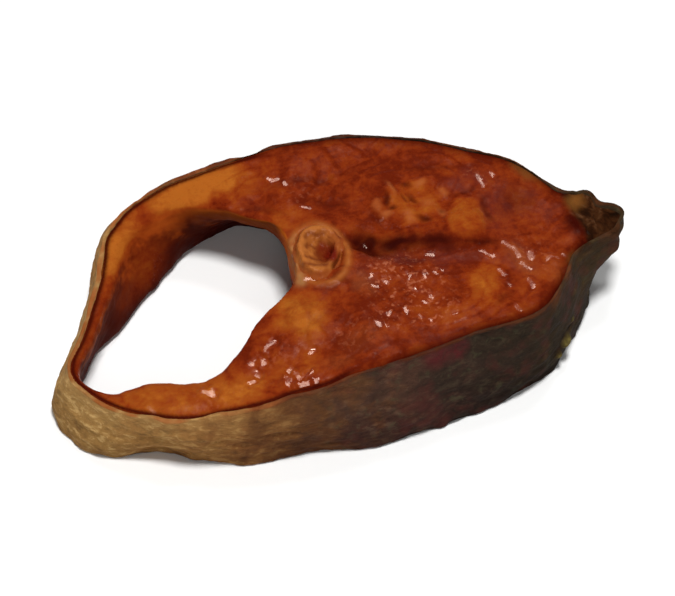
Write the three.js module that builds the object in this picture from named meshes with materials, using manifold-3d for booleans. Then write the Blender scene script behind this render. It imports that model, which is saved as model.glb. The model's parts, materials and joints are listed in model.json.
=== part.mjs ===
// A cross-cut steak of smoked fish: a closed ring of flesh and skin round the
// belly cavity, with the cut end of the backbone showing at the cavity's upper
// end and the stub of the back fin on the skin.
//
// Millimetres, +Z up along the fish's own length. +X runs from the belly to the
// back, Y across the fish. The steak lies on its flat lower cut.

import * as THREE from 'three';
import { mergeVertices } from 'three/addons/utils/BufferGeometryUtils.js';
import Module from 'manifold-3d';

// ---------- driving dimensions ----------

const BELLY_THICKNESS = 15;      // between the two cuts, at the belly tip
const LOIN_THICKNESS = 26;       // between the two cuts, from the backbone to the back
const TAPER_FROM_X = -62;        // the thickness grows between these two places
const TAPER_TO_X = 8;

const SKIN_EDGE_ROUND = 1.0;     // rounding where the skin meets a cut
const FLAP_EDGE_ROUND = 2.6;     // rounding of a thin flap's cavity edge
const LOIN_EDGE_ROUND = 0.8;     // rounding of the cavity edge beside the backbone
const FOOT_ROUND = 1.2;          // rounding round the lower cut
const SKIN_BULGE = 1.4;          // the skin stands out by this at half height
const SKIN_WAVE = 0.5;           // slow unevenness of the skin
const SKIN_WAVES_ROUND = 34;     // how many of its waves go round the ring
const SKIN_WAVE_HEIGHT = 9;      // and how tall one is
const FLAP_WIDTH = 14;           // a section this wide is flap, twice as wide is loin

const VERTEBRA_RADIUS = 5.4;
const VERTEBRA_OVAL = [0.87, 1.14];  // its radius along X and Y, as shares of that
const VERTEBRA_WAIST = 0.7;      // narrower by this at half height
const VERTEBRA_TOP = [-3.7, 5.5];    // its middle in the upper cut
const VERTEBRA_LEAN = [3.2, 1.6];    // its middle in the lower cut lies this much further on
const VERTEBRA_PROUD = 0.7;      // its rim stands above the flesh
const VERTEBRA_RIM = 0.9;        // width of the flat rim round a cup
const CUP_DEPTH = 5.2;           // the hollow cup at either end
const CUP_CURVE = 1.2;           // 1 is a straight cone, more is hollower
const CUP_LEAN = [2.4, 3.3];     // the cup's bottom lies this far from the middle of its rim
const CUP_RINGS = 4;             // growth rings down the cup
const CUP_RING_RELIEF = 0.25;
const POCKET_GAP = 0.3;          // between the vertebra and the flesh
const POCKET_PAST = 2;           // the pocket's cutter runs past both cuts

const FIN_MIDDLE = [58.2, -3.2]; // where the fin's root leaves the back, in the upper cut
const FIN_HALF_WIDTH = 9.2;      // along the skin
const FIN_REACH = 11.6;          // out from the back
const FIN_BLUNTNESS = 1.15;      // less is blunter
const FIN_DROP = 2.2;            // the stub's top lies below the flesh
const FIN_FOOT = 7;              // the stub fades out between these heights
const FIN_FULL = 20;
const FIN_STEP = 4;              // the flesh falls to the stub over this distance

// Stations round the ring, from the belly tip along the near side to the back
// and home along the far side. skin and cavity are the two edges of the upper
// cut; skinFlare and cavityFlare are how far those walls lie outward, away from
// the cavity, at the lower cut.
const STATIONS = [
  { place: 'belly tip',      skin: [-67.6, -5.6],  cavity: [-64.7, -6.4],  skinFlare: 2.8,  cavityFlare: 0.5 },
  { place: 'near tip',       skin: [-62.3, -15.9], cavity: [-61.0, -11.4], skinFlare: 3.6,  cavityFlare: 0.5 },
  { place: 'near flap',      skin: [-51.5, -24.0], cavity: [-51.0, -12.6], skinFlare: -1.0, cavityFlare: 0.0 },
  { place: 'near flap root', skin: [-37.5, -29.2], cavity: [-38.5, -16.4], skinFlare: -0.4, cavityFlare: -0.5 },
  { place: 'near shoulder',  skin: [-19.0, -30.6], cavity: [-30.5, -14.0], skinFlare: 1.6,  cavityFlare: -0.5 },
  { place: 'near flank',     skin: [0.0, -30.4],   cavity: [-22.5, -7.6],  skinFlare: 4.0,  cavityFlare: 0.5 },
  { place: 'near loin',      skin: [21.0, -27.6],  cavity: [-15.0, -3.2],  skinFlare: 5.4,  cavityFlare: 1.5 },
  { place: 'near back',      skin: [41.5, -25.0],  cavity: [-10.8, 1.0],   skinFlare: 2.4,  cavityFlare: 2.2 },
  { place: 'near nape',      skin: [54.0, -11.5],  cavity: [-10.0, 4.6],   skinFlare: 5.0,  cavityFlare: 2.4 },
  { place: 'nape',           skin: [58.2, 0.5],    cavity: [-9.9, 8.4],    skinFlare: 5.4,  cavityFlare: 2.4 },
  { place: 'far nape',       skin: [51.5, 15.5],   cavity: [-9.6, 12.4],   skinFlare: 3.6,  cavityFlare: 3.6 },
  { place: 'far loin',       skin: [34.0, 28.0],   cavity: [-11.0, 16.6],  skinFlare: 4.0,  cavityFlare: 9.0 },
  { place: 'far flank',      skin: [9.0, 36.8],    cavity: [-14.2, 19.4],  skinFlare: 5.0,  cavityFlare: 14.5 },
  { place: 'far shoulder',   skin: [-13.0, 37.8],  cavity: [-20.5, 24.2],  skinFlare: 6.0,  cavityFlare: 13.0 },
  { place: 'far flap root',  skin: [-34.6, 37.4],  cavity: [-31.5, 30.0],  skinFlare: 4.0,  cavityFlare: -4.0 },
  { place: 'far flap',       skin: [-46.4, 32.0],  cavity: [-42.5, 26.8],  skinFlare: 1.6,  cavityFlare: -7.6 },
  { place: 'far flap edge',  skin: [-54.2, 17.2],  cavity: [-50.8, 14.6],  skinFlare: 0.8,  cavityFlare: -3.5 },
  { place: 'far tip',        skin: [-60.8, 5.4],   cavity: [-57.4, 4.2],   skinFlare: 2.2,  cavityFlare: 1.6 },
];

// Soft lumps and dents of the upper cut: middle, reach along X and Y, height.
// LUMP_FALL is how fast one has fallen off at its reach.
const LUMP_FALL = 1.4;
const LUMPS = [
  { at: [30.5, 3.6],   reach: [5.6, 6.4],  height: 1.7 },    // fat pad beside the seam
  { at: [18.0, 14.8],  reach: [4.2, 4.4],  height: 1.3 },    // muscle ends, far side
  { at: [26.6, 16.2],  reach: [4.0, 3.8],  height: 1.3 },
  { at: [27.6, -18.6], reach: [6.5, 6.0],  height: 0.9 },    // near side, toward the back
  { at: [44.0, 14.5],  reach: [6.0, 5.0],  height: 0.8 },
  { at: [-16.5, -27.0], reach: [4.5, 3.0], height: 1.2 },    // ridge at the near shoulder
  { at: [-25.0, -22.0], reach: [7.0, 4.0], height: -1.1 },
  { at: [2.0, 24.0],   reach: [9.0, 5.0],  height: -1.0 },   // hollow toward the far flap
  { at: [14.0, -12.0], reach: [9.0, 6.0],  height: -0.8 },
  { at: [50.0, -4.0],  reach: [5.0, 8.0],  height: -0.9 },
  { at: [6.6, 3.0],    reach: [2.6, 2.6],  height: -1.8 },   // spinal canal
];

// The seam between the two halves of the back muscle: a furrow from the spinal
// canal toward the back, shallower as it goes.
const SEAM = [[10.5, 1.6], [20.5, -3.6], [29.0, -7.4], [38.0, -12.6]];
const SEAM_DEPTH = 1.7;
const SEAM_END_DEPTH = 0.5;
const SEAM_HALF_WIDTH = 2.1;

// General unevenness of the flesh, coarse and fine.
const GRAINS = [
  { height: 0.75, pitch: 7, seed: 3 },
  { height: 0.4, pitch: 3.4, seed: 11 },
];
const SKIN_SEED = 21;
const RIM_RELIEF = 0.6;          // share of the relief that the skin's edge follows
const EDGE_CALM = 4;             // the relief grows to its full height over this distance

// ---------- mesh fineness ----------

const COLUMNS = 124;             // round the ring
const SKIN_ROWS = 6;
const UPPER_CUT_ROWS = 17;
const CAVITY_ROWS = 5;
const LOWER_CUT_ROWS = 4;
const CORNER_ROWS = 2;
const VERTEBRA_SIDES = 36;
const VERTEBRA_BANDS = 4;        // down its side
const CUP_BANDS_PER_RING = 3;
const FIN_COLUMN_CROWDING = 1.6; // extra columns per column at the fin

// ---------- small helpers ----------

const clamp01 = (t) => Math.min(1, Math.max(0, t));
const lerp = (a, b, t) => a + (b - a) * t;
const smooth = (t) => clamp01(t) ** 2 * (3 - 2 * clamp01(t));

// Seeded, repeatable noise between -1 and 1 on a unit lattice.
function latticeValue(i, j, seed) {
  let h = Math.imul(i, 374761393) ^ Math.imul(j, 668265263) ^ Math.imul(seed, 974634777);
  h = Math.imul(h ^ (h >>> 13), 1274126177);
  return ((h ^ (h >>> 16)) >>> 0) / 2147483647.5 - 1;
}

function noise(x, y, seed) {
  const i = Math.floor(x);
  const j = Math.floor(y);
  const u = smooth(x - i);
  const v = smooth(y - j);
  const low = lerp(latticeValue(i, j, seed), latticeValue(i + 1, j, seed), u);
  const high = lerp(latticeValue(i, j + 1, seed), latticeValue(i + 1, j + 1, seed), u);
  return lerp(low, high, v);
}

function closedCurve(values) {
  const points = values.map(([x, y]) => new THREE.Vector3(x, y, 0));
  return new THREE.CatmullRomCurve3(points, true, 'centripetal');
}

function distanceToPath(x, y, path) {
  let nearest = Infinity;
  for (let k = 0; k + 1 < path.length; k += 1) {
    const [ax, ay] = path[k];
    const [bx, by] = path[k + 1];
    const span = (bx - ax) ** 2 + (by - ay) ** 2;
    const t = clamp01(((x - ax) * (bx - ax) + (y - ay) * (by - ay)) / span);
    nearest = Math.min(nearest, Math.hypot(x - lerp(ax, bx, t), y - lerp(ay, by, t)));
  }
  return nearest;
}

// ---------- the form of the steak ----------

const skinCurve = closedCurve(STATIONS.map((s) => s.skin));
const cavityCurve = closedCurve(STATIONS.map((s) => s.cavity));
const flareCurve = closedCurve(STATIONS.map((s) => [s.skinFlare, s.cavityFlare]));

function outwardNormal(curve, t) {
  const tangent = curve.getTangent(t);
  return new THREE.Vector2(tangent.y, -tangent.x).normalize();
}

const thickness = (x) => lerp(
  BELLY_THICKNESS, LOIN_THICKNESS,
  smooth((x - TAPER_FROM_X) / (TAPER_TO_X - TAPER_FROM_X)));

// Height of the upper cut over (x, y), with its lumps, seam and grain.
function upperCut(x, y) {
  let z = thickness(x);
  for (const { at, reach, height } of LUMPS) {
    const d = ((x - at[0]) / reach[0]) ** 2 + ((y - at[1]) / reach[1]) ** 2;
    z += height * Math.exp(-d * LUMP_FALL);
  }
  const seam = distanceToPath(x, y, SEAM) / SEAM_HALF_WIDTH;
  const along = smooth((x - SEAM[0][0]) / (SEAM[SEAM.length - 1][0] - SEAM[0][0]));
  z -= lerp(SEAM_DEPTH, SEAM_END_DEPTH, along) * Math.exp(-(seam ** 2));
  for (const { height, pitch, seed } of GRAINS) {
    z += height * noise(x / pitch, y / pitch, seed);
  }
  return z;
}

// How far the fin's stub stands out at a place on the skin: 1 in its middle
// near the upper cut, 0 away from it.
function finShare(x, y, z) {
  const along = Math.hypot(x - FIN_MIDDLE[0], y - FIN_MIDDLE[1]) / FIN_HALF_WIDTH;
  const up = smooth((z - FIN_FOOT) / (FIN_FULL - FIN_FOOT));
  return (along < 1 ? (1 - along ** 2) ** FIN_BLUNTNESS : 0) * up;
}

// The skin's place at height z of its own wall, at t round the ring.
function skinPoint(t, z, top) {
  const p = skinCurve.getPoint(t);
  const n = outwardNormal(skinCurve, t);
  const depth = clamp01(1 - z / top);
  const swell = SKIN_BULGE * Math.sin(Math.PI * depth);
  const wave = SKIN_WAVE * noise(t * SKIN_WAVES_ROUND, z / SKIN_WAVE_HEIGHT, SKIN_SEED);
  const out = flareCurve.getPoint(t).x * smooth(depth) + swell + wave;
  const fin = FIN_REACH * finShare(p.x, p.y, z);
  return new THREE.Vector2(p.x + n.x * out + fin, p.y + n.y * out);
}

// The cavity wall's place at height z.
function cavityPoint(t, z, top) {
  const p = cavityCurve.getPoint(t);
  const n = outwardNormal(cavityCurve, t);
  const out = flareCurve.getPoint(t).y * smooth(clamp01(1 - z / top));
  return new THREE.Vector2(p.x + n.x * out, p.y + n.y * out);
}

// One closed loop of points round the section at t: up the skin, across the
// upper cut, down the cavity wall and back across the lower cut.
function section(t) {
  const skin = skinCurve.getPoint(t);
  const cavity = cavityCurve.getPoint(t);
  const width = skin.distanceTo(cavity);
  const fin = finShare(skin.x, skin.y, LOIN_THICKNESS);
  const skinTop = lerp(thickness(skin.x), upperCut(skin.x, skin.y), RIM_RELIEF) - FIN_DROP * fin;
  const cavityTop = upperCut(cavity.x, cavity.y);
  const flap = 1 - smooth((width - FLAP_WIDTH) / FLAP_WIDTH);
  const skinRound = Math.min(SKIN_EDGE_ROUND, width * 0.25);
  const cavityRound = Math.min(lerp(LOIN_EDGE_ROUND, FLAP_EDGE_ROUND, flap), width * 0.45);
  const points = [];
  // across: 0 on the skin, 1 on the cavity wall
  const put = (across, z) => {
    const outer = skinPoint(t, z, skinTop);
    const inner = cavityPoint(t, z, cavityTop);
    points.push(new THREE.Vector3(
      lerp(outer.x, inner.x, across), lerp(outer.y, inner.y, across), z));
  };
  const footShare = FOOT_ROUND / width;

  for (let k = 0; k <= SKIN_ROWS; k += 1) {
    put(0, lerp(FOOT_ROUND, skinTop - skinRound, k / SKIN_ROWS));
  }
  for (let k = 1; k < CORNER_ROWS; k += 1) {
    const a = Math.PI / 2 * k / CORNER_ROWS;
    put(skinRound / width * (1 - Math.cos(a)), skinTop - skinRound * (1 - Math.sin(a)));
  }
  const first = skinRound / width;
  const last = 1 - cavityRound / width;
  for (let k = 0; k <= UPPER_CUT_ROWS; k += 1) {
    const across = lerp(first, last, k / UPPER_CUT_ROWS);
    const outer = skinPoint(t, skinTop, skinTop);
    const x = lerp(outer.x, cavity.x, across);
    const y = lerp(outer.y, cavity.y, across);
    const edge = smooth(Math.min(across - first, last - across) * width / EDGE_CALM);
    const line = lerp(skinTop, cavityTop, (across - first) / (last - first));
    const beyondSkin = smooth((x - FIN_MIDDLE[0]) / FIN_STEP) * fin;
    const z = lerp(line, upperCut(x, y), edge) - FIN_DROP * beyondSkin;
    points.push(new THREE.Vector3(x, y, z));
  }
  for (let k = CORNER_ROWS - 1; k >= 1; k -= 1) {
    const a = Math.PI / 2 * k / CORNER_ROWS;
    put(1 - cavityRound / width * (1 - Math.cos(a)), cavityTop - cavityRound * (1 - Math.sin(a)));
  }
  for (let k = CAVITY_ROWS; k >= 0; k -= 1) {
    put(1, lerp(FOOT_ROUND, cavityTop - cavityRound, k / CAVITY_ROWS));
  }
  for (let k = 0; k <= LOWER_CUT_ROWS; k += 1) {
    put(lerp(1 - footShare, footShare, k / LOWER_CUT_ROWS), 0);
  }
  return points;
}

// Where the columns stand round the ring: even along the skin, closer at the fin.
function columnPlaces(count) {
  const samples = 2000;
  const run = [0];
  let before = skinCurve.getPoint(0);
  for (let k = 1; k <= samples; k += 1) {
    const here = skinCurve.getPoint(k / samples);
    const fin = finShare(here.x, here.y, LOIN_THICKNESS);
    const inner = cavityCurve.getPoint(k / samples);
    const innerBefore = cavityCurve.getPoint((k - 1) / samples);
    const step = here.distanceTo(before) + 0.5 * inner.distanceTo(innerBefore);
    run.push(run[k - 1] + step * (1 + FIN_COLUMN_CROWDING * fin));
    before = here;
  }
  const places = [];
  let k = 0;
  for (let column = 0; column < count; column += 1) {
    const wanted = run[samples] * column / count;
    while (run[k + 1] < wanted) {
      k += 1;
    }
    places.push((k + (wanted - run[k]) / (run[k + 1] - run[k])) / samples);
  }
  return places;
}

// A closed ring-shaped body from its sections, faces outward.
function ringGeometry(sections) {
  const rows = sections[0].length;
  const positions = [];
  const index = [];
  for (const points of sections) {
    for (const p of points) {
      positions.push(p.x, p.y, p.z);
    }
  }
  for (let i = 0; i < sections.length; i += 1) {
    const next = (i + 1) % sections.length;
    for (let j = 0; j < rows; j += 1) {
      const above = (j + 1) % rows;
      const a = i * rows + j;
      const b = next * rows + j;
      const c = next * rows + above;
      const d = i * rows + above;
      index.push(a, b, c, a, c, d);
    }
  }
  const geometry = new THREE.BufferGeometry();
  geometry.setAttribute('position', new THREE.Float32BufferAttribute(positions, 3));
  geometry.setIndex(index);
  return geometry;
}

// ---------- the vertebra ----------

// Leans a body built on the Z axis so that its top and foot lie over the two
// middles of the backbone.
function leanAlongBackbone(geometry) {
  const places = geometry.getAttribute('position');
  for (let k = 0; k < places.count; k += 1) {
    const depth = 1 - places.getZ(k) / LOIN_THICKNESS;
    places.setX(k, places.getX(k) * VERTEBRA_OVAL[0] + VERTEBRA_TOP[0] + VERTEBRA_LEAN[0] * depth);
    places.setY(k, places.getY(k) * VERTEBRA_OVAL[1] + VERTEBRA_TOP[1] + VERTEBRA_LEAN[1] * depth);
  }
  return geometry;
}

// Slides the cups of a bone built on the Z axis sideways, more toward their bottoms.
function leanCups(geometry) {
  const places = geometry.getAttribute('position');
  for (let k = 0; k < places.count; k += 1) {
    const share = Math.hypot(places.getX(k), places.getY(k)) / CUP_RADIUS;
    const slide = Math.max(0, 1 - share);
    places.setX(k, places.getX(k) + CUP_LEAN[0] * slide);
    places.setY(k, places.getY(k) + CUP_LEAN[1] * slide);
  }
  return geometry;
}

function spun(profile) {
  const geometry = new THREE.LatheGeometry(profile, VERTEBRA_SIDES);
  return geometry.rotateX(Math.PI / 2);
}

const CUP_RADIUS = VERTEBRA_RADIUS - VERTEBRA_RIM;
const vertebraRadius = (share) => VERTEBRA_RADIUS - VERTEBRA_WAIST * Math.sin(Math.PI * share);

// The wall of a cup from its middle out to the rim; z is measured down from the
// rim, with a small step at each growth ring.
function cupWall() {
  const wall = [];
  const steps = CUP_RINGS * CUP_BANDS_PER_RING;
  for (let k = 0; k <= steps; k += 1) {
    const share = k / steps;
    const ring = CUP_RING_RELIEF * Math.sin(2 * Math.PI * CUP_RINGS * share);
    wall.push({
      r: share * CUP_RADIUS,
      down: CUP_DEPTH * (1 - share) ** CUP_CURVE - ring,
    });
  }
  return wall;
}

// The bone: waisted, with a deep ringed cup at either end.
function vertebraGeometry(top) {
  const cup = cupWall();
  const profile = cup.map(({ r, down }) => new THREE.Vector2(r, down));
  for (let k = 0; k <= VERTEBRA_BANDS; k += 1) {
    const share = k / VERTEBRA_BANDS;
    profile.push(new THREE.Vector2(vertebraRadius(share), top * share));
  }
  for (const { r, down } of cup.reverse()) {
    profile.push(new THREE.Vector2(r, top - down));
  }
  return leanAlongBackbone(leanCups(spun(profile)));
}

// The pocket that the bone sits in, open through both cuts.
function pocketGeometry(top) {
  const low = -POCKET_PAST;
  const high = top + POCKET_PAST;
  const profile = [new THREE.Vector2(0, low), new THREE.Vector2(vertebraRadius(0) + POCKET_GAP, low)];
  for (let k = 0; k <= VERTEBRA_BANDS; k += 1) {
    const share = k / VERTEBRA_BANDS;
    profile.push(new THREE.Vector2(vertebraRadius(share) + POCKET_GAP, top * share));
  }
  profile.push(new THREE.Vector2(vertebraRadius(1) + POCKET_GAP, high), new THREE.Vector2(0, high));
  return leanAlongBackbone(spun(profile));
}

// ---------- joining and cutting ----------

const wasm = await Module();
wasm.setup();

function toSolid(source) {
  const bare = source.clone();
  bare.deleteAttribute('normal');
  bare.deleteAttribute('uv');
  const merged = mergeVertices(bare);
  return new wasm.Manifold(new wasm.Mesh({
    numProp: 3,
    vertProperties: new Float32Array(merged.getAttribute('position').array),
    triVerts: new Uint32Array(merged.getIndex().array),
  }));
}

function toGeometry(solid) {
  const { vertProperties, triVerts } = solid.getMesh();
  const geometry = new THREE.BufferGeometry();
  geometry.setAttribute('position', new THREE.Float32BufferAttribute(vertProperties, 3));
  geometry.setIndex([...triVerts]);
  return geometry;
}

// ---------- the steak ----------

const ring = ringGeometry(columnPlaces(COLUMNS).map(section));
const vertebraTop = thickness(VERTEBRA_TOP[0]) + VERTEBRA_PROUD;
const flesh = toGeometry(toSolid(ring).subtract(toSolid(pocketGeometry(vertebraTop))));
const bone = vertebraGeometry(vertebraTop);

// The steak stands on the middle of its own box.
flesh.computeBoundingBox();
const middle = flesh.boundingBox.getCenter(new THREE.Vector3());
for (const geometry of [flesh, bone]) {
  geometry.translate(-middle.x, -middle.y, 0);
  geometry.computeVertexNormals();
}

const steak = new THREE.Mesh(flesh, new THREE.MeshStandardMaterial({
  color: 0x8a3d16, roughness: 0.35, metalness: 0,
}));
steak.name = 'steak';

const backbone = new THREE.Mesh(bone, new THREE.MeshStandardMaterial({
  color: 0x9c6a35, roughness: 0.5, metalness: 0,
}));
backbone.name = 'backbone';

const group = new THREE.Group();
group.add(steak, backbone);

export default group;
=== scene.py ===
import json
import math

import bpy
import numpy as np
from mathutils import Matrix, Vector
from mathutils.bvhtree import BVHTree
from mathutils.kdtree import KDTree

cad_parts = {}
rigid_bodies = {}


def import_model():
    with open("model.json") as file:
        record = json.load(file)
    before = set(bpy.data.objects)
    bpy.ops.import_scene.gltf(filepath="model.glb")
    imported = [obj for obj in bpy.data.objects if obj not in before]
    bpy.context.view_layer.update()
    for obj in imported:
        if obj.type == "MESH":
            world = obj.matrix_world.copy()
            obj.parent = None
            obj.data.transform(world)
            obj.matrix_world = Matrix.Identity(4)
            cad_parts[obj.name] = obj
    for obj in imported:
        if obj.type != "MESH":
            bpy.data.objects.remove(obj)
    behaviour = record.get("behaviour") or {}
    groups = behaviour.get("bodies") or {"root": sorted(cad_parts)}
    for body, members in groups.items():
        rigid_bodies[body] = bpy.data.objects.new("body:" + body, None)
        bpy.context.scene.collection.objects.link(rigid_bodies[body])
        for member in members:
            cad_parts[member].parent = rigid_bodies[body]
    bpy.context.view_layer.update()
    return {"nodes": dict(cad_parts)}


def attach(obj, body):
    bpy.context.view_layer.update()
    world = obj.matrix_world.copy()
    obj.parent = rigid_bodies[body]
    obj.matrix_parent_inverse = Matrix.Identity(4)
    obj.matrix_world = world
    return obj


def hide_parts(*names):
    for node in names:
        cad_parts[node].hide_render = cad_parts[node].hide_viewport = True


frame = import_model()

MM = 0.001
UP = np.array([0, 0, 1.0])

# ---------- sizes, in millimetres ----------

STEAK_VOXEL = 0.42
STEAK_TRIANGLES = 192000
STEAK_SMOOTHING = 4
UPPER_CUT_SMOOTHING = 30
SKIN_PITCH = 0.37
SKIN_ROWS = 58
SKIN_RIM_ROWS = 5
SKIN_INNER_ROWS = 4
BROWN_ROWS = 10                 # rows of the skin under its rim that are brown at the back
SKIN_THICKNESS = (0.8, 0.45)    # at the belly tip and at the back
SKIN_PROUD = 0.12
SKIN_FOOT = 0.5
SKIN_FOOT_ROUND = 0.35
SKIN_RIM_PROUD = 0.12
SKIN_RIM_RAG = (0.25, 0.2)      # fine and coarse
SKIN_BLUR = (3, 2)              # round the fish and up the skin, in grid steps
RIM_BLUR = 4
# The skin's relief.
SKIN_FOLDS = 0.34
SKIN_CREASES = 0.26
SKIN_DENTS = 0.6
SKIN_RAG = 0.9
SKIN_SETTLED = 0.2              # taken off the relief all over
FLESH_BEHIND_SKIN = (0.45, 1.9)   # at the rim and lower down
SCALE_WIDTH = 2.7
SCALE_STEP = 1.9
SCALE_REACH = (0.62, 1.55)      # half a scale's size, in widths and in steps
SCALE_ROOT = 0.35               # height at a scale's root, for 1 at its tip
SCALE_RELIEF = 0.1

FLOOR_SIZE = 8
WORLD_LEVELS = ((0.1, 0.5), (0.42, 0.09))       # sine of the elevation, brightness
# name, azimuth, elevation, distance, size in metres, power
LIGHTS = (
    ("key", -24, 84, 1.4, 0.3, 17.5),
    ("front", -24, 40, 2.2, 0.9, 5),
    ("glint", 155.5, 69, 1.4, 0.2, 2.8),
)

# ---------- hand tools ----------


def clear_selection():
    for thing in bpy.context.view_layer.objects:
        thing.select_set(False)


def take(piece):
    clear_selection()
    piece.select_set(True)
    bpy.context.view_layer.objects.active = piece


def in_edit_mode(piece, *steps):
    take(piece)
    bpy.ops.object.mode_set(mode="EDIT")
    for step in steps:
        step()
    bpy.ops.object.mode_set(mode="OBJECT")


def select_all():
    bpy.ops.mesh.select_all(action="SELECT")


def merge_doubles():
    bpy.ops.mesh.remove_doubles(threshold=0.002 * MM)


def faces_outward():
    bpy.ops.mesh.normals_make_consistent(inside=False)


def finish_modifier(piece, kind, **settings):
    take(piece)
    modifier = piece.modifiers.new(kind.lower(), kind)
    for name, value in settings.items():
        setattr(modifier, name, value)
    bpy.ops.object.modifier_apply(modifier=modifier.name)


def finish_where(piece, chosen, kind, **settings):
    """Applies a modifier to the chosen points alone."""
    group = piece.vertex_groups.new(name="chosen")
    group.add([int(i) for i in np.flatnonzero(chosen)], 1.0, "REPLACE")
    finish_modifier(piece, kind, vertex_group=group.name, **settings)
    piece.vertex_groups.clear()


def vertex_values(piece, kind):
    flat = np.empty(len(piece.data.vertices) * 3)
    piece.data.vertices.foreach_get(kind, flat)
    return flat.reshape(-1, 3)


def places(piece):
    return vertex_values(piece, "co") / MM


def normals(piece):
    return vertex_values(piece, "normal")


def put_places(piece, points):
    piece.data.vertices.foreach_set("co", (points * MM).ravel())
    piece.data.update()


def paint(piece, name, values):
    attribute = piece.data.attributes.new(name, "FLOAT", "POINT")
    attribute.data.foreach_set("value", values.astype(np.float32))


def shade_smooth(piece):
    take(piece)
    bpy.ops.object.shade_smooth()


def closed_sheet(name, rows):
    """A piece from rows of points that run round it, and its numbers of columns and levels."""
    sheet = np.stack(rows, axis=1)
    sheet = np.concatenate([sheet, sheet[:1]], axis=0)
    columns, levels = sheet.shape[:2]
    bpy.ops.mesh.primitive_grid_add(x_subdivisions=levels - 1, y_subdivisions=columns - 1)
    piece = bpy.context.object
    piece.name = piece.data.name = name
    put_places(piece, sheet.reshape(-1, 3))
    return piece, (columns, levels)


# ---------- number tools ----------

HASH_FACTORS = (374761393, 668265263, 1440662683)
HASH_SEED = 974634777
HASH_MIX = 1274126177
BITS_32 = 0xFFFFFFFF
BITS_24 = 0xFFFFFF
CELL_JITTER = 0.42           # how far a cell's middle strays, in pitches
BEAD_REACH = 2.1             # a bead's radius goes into the pitch this many times
LOBE_GAP = 0.7               # share of the pitch over which a gap rises to a lobe's top


def smooth(t):
    t = np.clip(t, 0, 1)
    return t * t * (3 - 2 * t)


def rise(values, start, over):
    """0 up to start, and 1 from start plus over on."""
    return smooth((values - start) / over)


def fall(values, end, over):
    """1 up to end less over, and 0 from end on."""
    return smooth((end - values) / over)


def hashed(cell, seed):
    """A number between -1 and 1 for each whole cell, the same in every run."""
    i, j, k = (cell[..., axis] * factor for axis, factor in enumerate(HASH_FACTORS))
    h = (i + j + k + seed * HASH_SEED) & BITS_32
    h = ((h ^ (h >> 13)) * HASH_MIX) & BITS_32
    return ((h ^ (h >> 16)) & BITS_24) / (BITS_24 >> 1) - 1.0


def noise(points, pitch, seed):
    """Seeded value noise between -1 and 1; pitch is one size or one for each axis."""
    scaled = points / np.asarray(pitch, float)
    cell = np.floor(scaled).astype(np.int64)
    share = smooth(scaled - cell)
    total = 0
    for corner in np.ndindex(2, 2, 2):
        weight = np.prod(np.where(corner, share, 1 - share), axis=-1)
        total = total + weight * hashed(cell + np.array(corner), seed)
    return total


def layered(points, pitch, seed, layers=3):
    """Noise of several sizes, each half as large and half as high as the one before."""
    total, height = 0, 1.0
    for layer in range(layers):
        total = total + height * noise(points, np.asarray(pitch, float) / 2 ** layer, seed + layer)
        height *= 0.5
    return total / (2 - 2 ** (1 - layers))


def wander(points, pitch, seed, axes=3):
    """A push between -1 and 1 along each axis."""
    return np.column_stack([noise(points, pitch, seed + axis) for axis in range(axes)])


def warped(points, *layers):
    """Points pushed about: each layer has its longest push, its pitch and its seed."""
    moved = points.copy()
    for push, pitch, seed in layers:
        moved += push * wander(points, pitch, seed)
    return moved


def nearest_cells(points, pitch, seed):
    """Distances in plan to the two nearest cell middles, in pitches, and a number for the nearest."""
    flat = points[:, :2] / np.asarray(pitch, float)
    cell = np.floor(np.column_stack([flat, np.zeros(len(flat))])).astype(np.int64)
    first = np.full(len(points), np.inf)
    second = first
    pick = np.zeros(len(points))
    for i, j in np.ndindex(3, 3):
        other = cell + np.array([i - 1, j - 1, 0])
        dx = other[:, 0] + 0.5 + CELL_JITTER * hashed(other, seed) - flat[:, 0]
        dy = other[:, 1] + 0.5 + CELL_JITTER * hashed(other, seed + 1) - flat[:, 1]
        off = np.hypot(dx, dy)
        closer = off < first
        second = np.where(closer, first, np.minimum(second, off))
        pick = np.where(closer, 0.5 + 0.5 * hashed(other, seed + 2), pick)
        first = np.where(closer, off, first)
    return first, second, pick


def beads(points, pitch, seed, share=0.7):
    """Domes of uneven height in plan, 0 to 1; share of the cells hold one."""
    first, _, pick = nearest_cells(points, pitch, seed)
    height = np.where(pick < share, 0.4 + 0.6 * pick / share, 0.0)
    return height * np.clip(1 - (BEAD_REACH * first) ** 2, 0, 1)


def turned(x, y, degrees):
    """Places in plan, along and across a direction."""
    c, s = math.cos(math.radians(degrees)), math.sin(math.radians(degrees))
    return x * c + y * s, y * c - x * s


def lobes(points, pitch, turn, seed):
    """Rounded lobes packed side by side, 0 in the gaps and 1 on top."""
    flat = np.column_stack(turned(points[:, 0], points[:, 1], turn))
    first, second, _ = nearest_cells(flat, pitch, seed)
    return smooth((second - first) / LOBE_GAP)


def patch(points, middle, reach, turn=0.0, soft=0.7):
    """1 inside an oval in plan, falling to 0 at its reach over the outer share called soft."""
    along, across = turned(points[:, 0] - middle[0], points[:, 1] - middle[1], turn)
    along, across = along / reach[0], across / reach[1]
    return smooth((1 - np.sqrt(along ** 2 + across ** 2)) / soft)


def patches(points, ovals):
    """The strongest of several ovals; the last number of each is its strength."""
    total = np.zeros(len(points))
    for *oval, strength in ovals:
        total = np.maximum(total, strength * patch(points, *oval))
    return total


def from_path(points, path):
    """Distance in plan to a path."""
    nearest = np.full(len(points), np.inf)
    for a, b in zip(path[:-1], path[1:]):
        a, b = np.array(a, float), np.array(b, float)
        run = b - a
        t = np.clip(((points[:, :2] - a) @ run) / (run @ run), 0, 1)
        nearest = np.minimum(nearest, np.linalg.norm(points[:, :2] - (a + t[:, None] * run), axis=1))
    return nearest


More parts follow.
